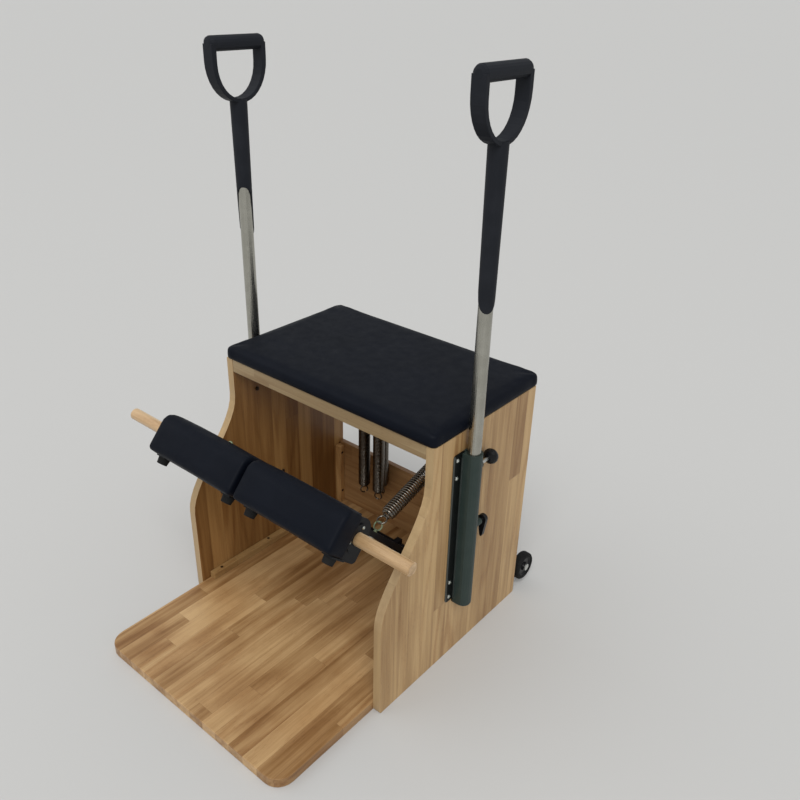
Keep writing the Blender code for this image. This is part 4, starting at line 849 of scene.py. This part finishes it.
def turned_wire(name, radius, height, angle_deg, rise, curls, steps):
    """A round wire wound about the Z axis, as a mesh: a circle carried round by a screw."""
    bm = bmesh.new()
    ring = bmesh.ops.create_circle(bm, cap_ends=False, segments=WIRE_SIDES, radius=WIRE_RADIUS)["verts"]
    upright = Matrix.Translation((radius, 0.0, height)) @ Matrix.Rotation(math.pi / 2, 4, "X")
    bmesh.ops.transform(bm, matrix=upright, verts=ring)
    item = object_from(name, bm)
    screw = item.modifiers.new("wind", "SCREW")
    screw.angle = math.radians(angle_deg)
    screw.screw_offset = rise
    screw.iterations = curls
    screw.steps = steps
    screw.render_steps = steps
    settle(item)
    wound = item.data
    bpy.data.objects.remove(item)
    return wound


def add_wound(bm, mesh, matrix):
    """Adds a wound wire to a piece and closes its two cut ends."""
    part = bmesh.new()
    part.from_mesh(mesh)
    bpy.data.meshes.remove(mesh)
    bmesh.ops.remove_doubles(part, verts=part.verts, dist=0.00001)
    bmesh.ops.holes_fill(part, edges=[edge for edge in part.edges if edge.is_boundary], sides=0)
    bmesh.ops.transform(part, matrix=matrix, verts=part.verts)
    joined = bpy.data.meshes.new("wound")
    part.to_mesh(joined)
    part.free()
    bm.from_mesh(joined)
    bpy.data.meshes.remove(joined)


def wound_spring(name, top, bottom, hook_turns, pitch=CURL_PITCH):
    """A close-wound extension spring: its coil draws in at both ends to a round hook."""
    length = (bottom - top).length
    coil_length = length - 4 * HOOK_RADIUS
    curls = round(coil_length / pitch)
    coil_low = 2 * HOOK_RADIUS
    bm = bmesh.new()
    coil = turned_wire(name, COIL_RADIUS, coil_low, 360.0, coil_length / curls, curls, STEPS_PER_CURL)
    for vert in coil.vertices:
        edge = min(vert.co.z - coil_low, coil_low + coil_length - vert.co.z)
        share = max(0.0, min(1.0, edge / CONE_LENGTH))
        middle = COIL_RADIUS * (CONE_END_SHARE + (1.0 - CONE_END_SHARE) * math.sin(share * math.pi / 2))
        radius = math.hypot(vert.co.x, vert.co.y)
        vert.co.x *= (radius - COIL_RADIUS + middle) / radius
        vert.co.y *= (radius - COIL_RADIUS + middle) / radius
    add_wound(bm, coil, Matrix())
    upright = Matrix.Rotation(math.pi / 2, 4, "X")
    hook_centres = (HOOK_RADIUS, length - HOOK_RADIUS)
    for centre_z, opening, hook_turn in zip(hook_centres, (1.0, -1.0), hook_turns):
        hook = turned_wire(name, HOOK_RADIUS, 0.0, HOOK_SWEEP_DEG, 0.0, 1, HOOK_STEPS)
        start = Matrix.Rotation(math.radians(opening * 90.0 + HOOK_LEAN_DEG), 4, "Y") @ upright
        place = Matrix.Translation((0.0, 0.0, centre_z)) @ Matrix.Rotation(hook_turn, 4, "Z")
        add_wound(bm, hook, place @ start)
    pull = (bottom - top).normalized().to_track_quat("Z", "X").to_matrix().to_4x4()
    bmesh.ops.transform(bm, matrix=Matrix.Translation(top) @ pull, verts=bm.verts)
    return bm


def springs():
    """Three springs that hang free, and one stretched to the right pedal."""
    for number, eye in enumerate(HANGING_EYES, 1):
        name = "hanging_spring_" + str(number)
        top = Vector(eye) - Vector((0.0, 0.0, EYE_RADIUS - HOOK_SEAT))
        bottom = top - Vector((0.0, 0.0, SPRING_LENGTH))
        bm = wound_spring("wound_" + name, top, bottom, (0.0, math.radians(HOOK_TWIST_DEG * number)))
        item = add_piece("wound_" + name, bm, SPRING_STEEL, name, 60.0)
        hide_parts(name)
    arm_eye = PIVOT + ARM_TURN @ Vector((ARM_EYE_X, -ARM_EYE_U, EYE_CENTRE_N))
    arm_eye_top = PIVOT + ARM_TURN @ Vector((ARM_EYE_X, -ARM_EYE_U, EYE_CENTRE_N + EYE_RADIUS))
    pull = (Vector(ACTIVE_EYE) - arm_eye).normalized()
    bottom = arm_eye_top - pull * HOOK_SEAT
    top = Vector(ACTIVE_EYE) - pull * (EYE_RADIUS - HOOK_SEAT)
    bm = wound_spring("wound_active_spring", top, bottom, (0.0, math.pi / 2), STRETCHED_PITCH)
    item = add_piece("wound_active_spring", bm, SPRING_STEEL, None, 60.0)
    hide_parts("active_spring")
    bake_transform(item)


springs()


# Upholstery


def rounded_block(size, corners):
    """A block on its foot, its upright corners rounded: each radius belongs to one corner's signs."""
    bm = bmesh.new()
    bmesh.ops.create_cube(bm, size=1.0)
    bmesh.ops.scale(bm, vec=size, verts=bm.verts)
    bmesh.ops.translate(bm, vec=(0.0, 0.0, size[2] / 2), verts=bm.verts)
    for (side_x, side_y), radius in corners.items():
        upright = [
            edge for edge in bm.edges
            if all(
                v.co.x * side_x > size[0] / 2 - TOUCH and v.co.y * side_y > size[1] / 2 - TOUCH
                for v in edge.verts
            )
        ]
        round_off(bm, upright, radius, CORNER_SEGMENTS)
    return bm


def even_mesh(item, voxel):
    """Remeshes a block into even squares, so that its cover can stretch alike everywhere."""
    even = item.modifiers.new("even", "REMESH")
    even.mode = "VOXEL"
    even.voxel_size = voxel
    return settle(item)


def seat_block(name, size):
    """The seat's block: small upright corners and a tight rounded top edge."""
    around = {(x, y): SEAT_CORNER for x in (-1, 1) for y in (-1, 1)}
    bm = rounded_block(size, around)
    rim = [edge for edge in bm.edges if all(v.co.z > size[2] - TOUCH for v in edge.verts)]
    round_off(bm, rim, SEAT_TOP_EDGE, 5)
    return even_mesh(object_from(name, bm), SEAT_MESH)


def pedal_block(name, size, sign):
    """A pedal pad's block: half round along its length, nearly flat at its ends."""
    corners = {
        (sign, 1): PEDAL_TOP_CORNER, (sign, -1): PEDAL_BOTTOM_CORNER,
        (-sign, 1): PEDAL_INNER_CORNER, (-sign, -1): PEDAL_INNER_CORNER,
    }
    outline_block = rounded_block((size[0], size[1], size[2] + OUTLINE_EXTRA), corners)
    outline = object_from(name + "_outline", outline_block)
    profile = rounded_block(size, {})
    for way, radius in ((1, PEDAL_TOP_EDGE), (-1, PEDAL_BOTTOM_EDGE)):
        long_rim = [
            edge for edge in profile.edges
            if all(v.co.z > size[2] - TOUCH and v.co.y * way > 0.0 for v in edge.verts)
            and edge.calc_length() > 0.9 * size[0]
        ]
        round_off(profile, long_rim, radius, 9)
    end_rim = [
        edge for edge in profile.edges
        if edge.calc_length() < 0.9 * size[0] and not all(v.co.z < TOUCH for v in edge.verts)
        and abs(edge.verts[0].co.x - edge.verts[1].co.x) < TOUCH
    ]
    round_off(profile, end_rim, PEDAL_END_EDGE, 4)
    item = object_from(name, profile)
    trim = item.modifiers.new("corners", "BOOLEAN")
    trim.operation = "INTERSECT"
    trim.object = outline
    settle(item)
    bpy.data.objects.remove(outline)
    return even_mesh(item, PEDAL_MESH)


def puff(item, held_height, cap, pressure):
    """Blows a block up a little as its cover would hold it, its foot held still."""
    rest = [vert.co.copy() for vert in item.data.vertices]
    held = item.vertex_groups.new(name="held")
    held.add([i for i, co in enumerate(rest) if co.z < held_height], 1.0, "REPLACE")
    cloth = item.modifiers.new("cover", "CLOTH")
    cloth.settings.quality = 5
    cloth.settings.mass = 0.3
    cloth.settings.tension_stiffness = 40.0
    cloth.settings.compression_stiffness = 40.0
    cloth.settings.shear_stiffness = 20.0
    cloth.settings.bending_stiffness = 6.0
    cloth.settings.use_pressure = True
    cloth.settings.uniform_pressure_force = pressure
    cloth.settings.vertex_group_mass = "held"
    cloth.settings.effector_weights.gravity = 0.0
    scene = bpy.context.scene
    for step in range(1, COVER_STEPS + 1):
        scene.frame_set(step)
    settle(item)
    scene.frame_set(1)
    for vert, start in zip(item.data.vertices, rest):
        move = vert.co - start
        if move.length > cap:
            vert.co = start + move * (cap / move.length)
    return item


def pleat(item, half_x, half_y, corner, depth, reach, count):
    """Gathers the cover in small folds round the corners, near the foot."""
    for vert in item.data.vertices:
        x, y, z = vert.co
        from_x = half_x - corner - abs(x)
        from_y = half_y - corner - abs(y)
        if from_x > PLEAT_START or from_y > PLEAT_START or z > reach:
            continue
        angle = math.atan2(max(-from_y, 0.0), max(-from_x, 0.0))
        fold = 0.5 + 0.5 * math.cos(angle * 4 * count)
        ends = math.sin(2 * angle) if angle > 0.0 else 0.0
        share = (1.0 - z / reach) ** PLEAT_FADE
        inward = Vector((-math.copysign(math.cos(angle), x), -math.copysign(math.sin(angle), y), 0.0))
        vert.co += inward * depth * fold * share * ends


def finish_cushion(item, matrix, body, replaced):
    """Smooths a cushion, puts it in its place and has it stand for its plain solid."""
    smoothing = item.modifiers.new("even_out", "SMOOTH")
    smoothing.factor = 0.5
    smoothing.iterations = 3
    dense = item.modifiers.new("dense", "SUBSURF")
    dense.levels = 1
    dense.render_levels = 1
    settle(item)
    item.data.transform(matrix)
    item.data.materials.clear()
    item.data.materials.append(NAVY_VINYL)
    item.data.shade_smooth()
    item.vertex_groups.clear()
    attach(item, body)
    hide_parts(replaced)


def seat_cushion():
    """The seat's cushion, a little inside its solid."""
    low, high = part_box("seat_pad")
    size = high - low
    item = seat_block("seat_cushion", tuple(length - SEAT_INSET for length in size))
    puff(item, SEAT_HELD_HEIGHT, SEAT_SWELL, SEAT_PRESSURE)
    pleat(item, size.x / 2, size.y / 2, SEAT_CORNER, SEAT_PLEAT_DEPTH, SEAT_PLEAT_REACH, SEAT_PLEATS)
    middle = (low + high) / 2
    place = Matrix.Translation((middle.x, middle.y, low.z))
    finish_cushion(item, place, "chair", "seat_pad")


def pedal_cushion(side, sign):
    """A pedal's cushion, which faces out along the pedal."""
    width = PEDAL_OUTER_X - PEDAL_INNER_X
    size = (width - PEDAL_INSET, PAD_HEIGHT - PEDAL_INSET, PAD_DEPTH - PEDAL_INSET)
    item = pedal_block(side + "_pedal_cushion", size, sign)
    puff(item, PEDAL_HELD_HEIGHT, PEDAL_SWELL, PEDAL_PRESSURE)
    middle_x = sign * (PEDAL_INNER_X + width / 2)
    middle_n = PAD_BOTTOM_N + PAD_HEIGHT / 2
    foot = Matrix.Translation((middle_x, -PAD_REAR_U, middle_n))
    outward = Matrix.Rotation(math.pi / 2, 4, "X")
    place = Matrix.Translation(PIVOT) @ PEDAL_TURN @ foot @ outward
    finish_cushion(item, place, side + "_pedal", side + "_pedal_pad")


seat_cushion()
for side, sign in SIDES.items():
    pedal_cushion(side, sign)


# Floor, light and camera


def stage():
    """A pale floor that reaches to the horizon."""
    bm = bmesh.new()
    bmesh.ops.create_circle(bm, cap_ends=True, segments=96, radius=FLOOR_RADIUS)
    floor = object_from("floor", bm)
    material = bpy.data.materials.new("pale_floor")
    material.use_nodes = True
    shader = material.node_tree.nodes["Principled BSDF"]
    shader.inputs["Base Color"].default_value = FLOOR_COLOUR
    shader.inputs["Roughness"].default_value = FLOOR_ROUGHNESS
    floor.data.materials.append(material)


def sun(name, turn_deg, strength, softness_deg):
    lamp = bpy.data.lights.new(name, "SUN")
    lamp.energy = strength
    lamp.angle = math.radians(softness_deg)
    item = bpy.data.objects.new(name, lamp)
    item.rotation_euler = [math.radians(angle) for angle in turn_deg]
    bpy.context.scene.collection.objects.link(item)


def lighting():
    """An even sky with a soft key light and a weaker fill light."""
    world = bpy.data.worlds.new("soft_room")
    world.use_nodes = True
    tree = world.node_tree
    background = tree.nodes["Background"]
    path = node(tree, "ShaderNodeLightPath")
    seen = calc(tree, "MAXIMUM", path.outputs["Is Camera Ray"], path.outputs["Is Glossy Ray"])
    seen = calc(tree, "MAXIMUM", seen, path.outputs["Is Transmission Ray"])
    colour = blend_colour(tree, seen, SKY_COLOUR, SEEN_SKY_COLOUR)
    tree.links.new(colour, background.inputs["Color"])
    background.inputs["Strength"].default_value = SKY_STRENGTH
    bpy.context.scene.world = world
    sun("key", (38.0, 0.0, 38.0), 1.7, 35.0)
    sun("fill", (48.0, 0.0, -60.0), 0.5, 60.0)


def camera():
    """The camera at the photograph's viewpoint."""
    lens = bpy.data.cameras.new("camera")
    lens.lens = LENS_MM
    lens.sensor_width = SENSOR_MM
    item = bpy.data.objects.new("camera", lens)
    bpy.context.scene.collection.objects.link(item)
    turn = (
        Matrix.Rotation(math.radians(CAMERA_YAW_DEG), 4, "Z")
        @ Matrix.Rotation(math.radians(90.0 + CAMERA_PITCH_DEG), 4, "X")
        @ Matrix.Rotation(math.radians(CAMERA_ROLL_DEG), 4, "Z")
    )
    item.matrix_world = Matrix.Translation(CAMERA_PLACE) @ turn
    bpy.context.scene.camera = item


stage()
lighting()
camera()
bpy.context.scene.view_settings.view_transform = "Standard"
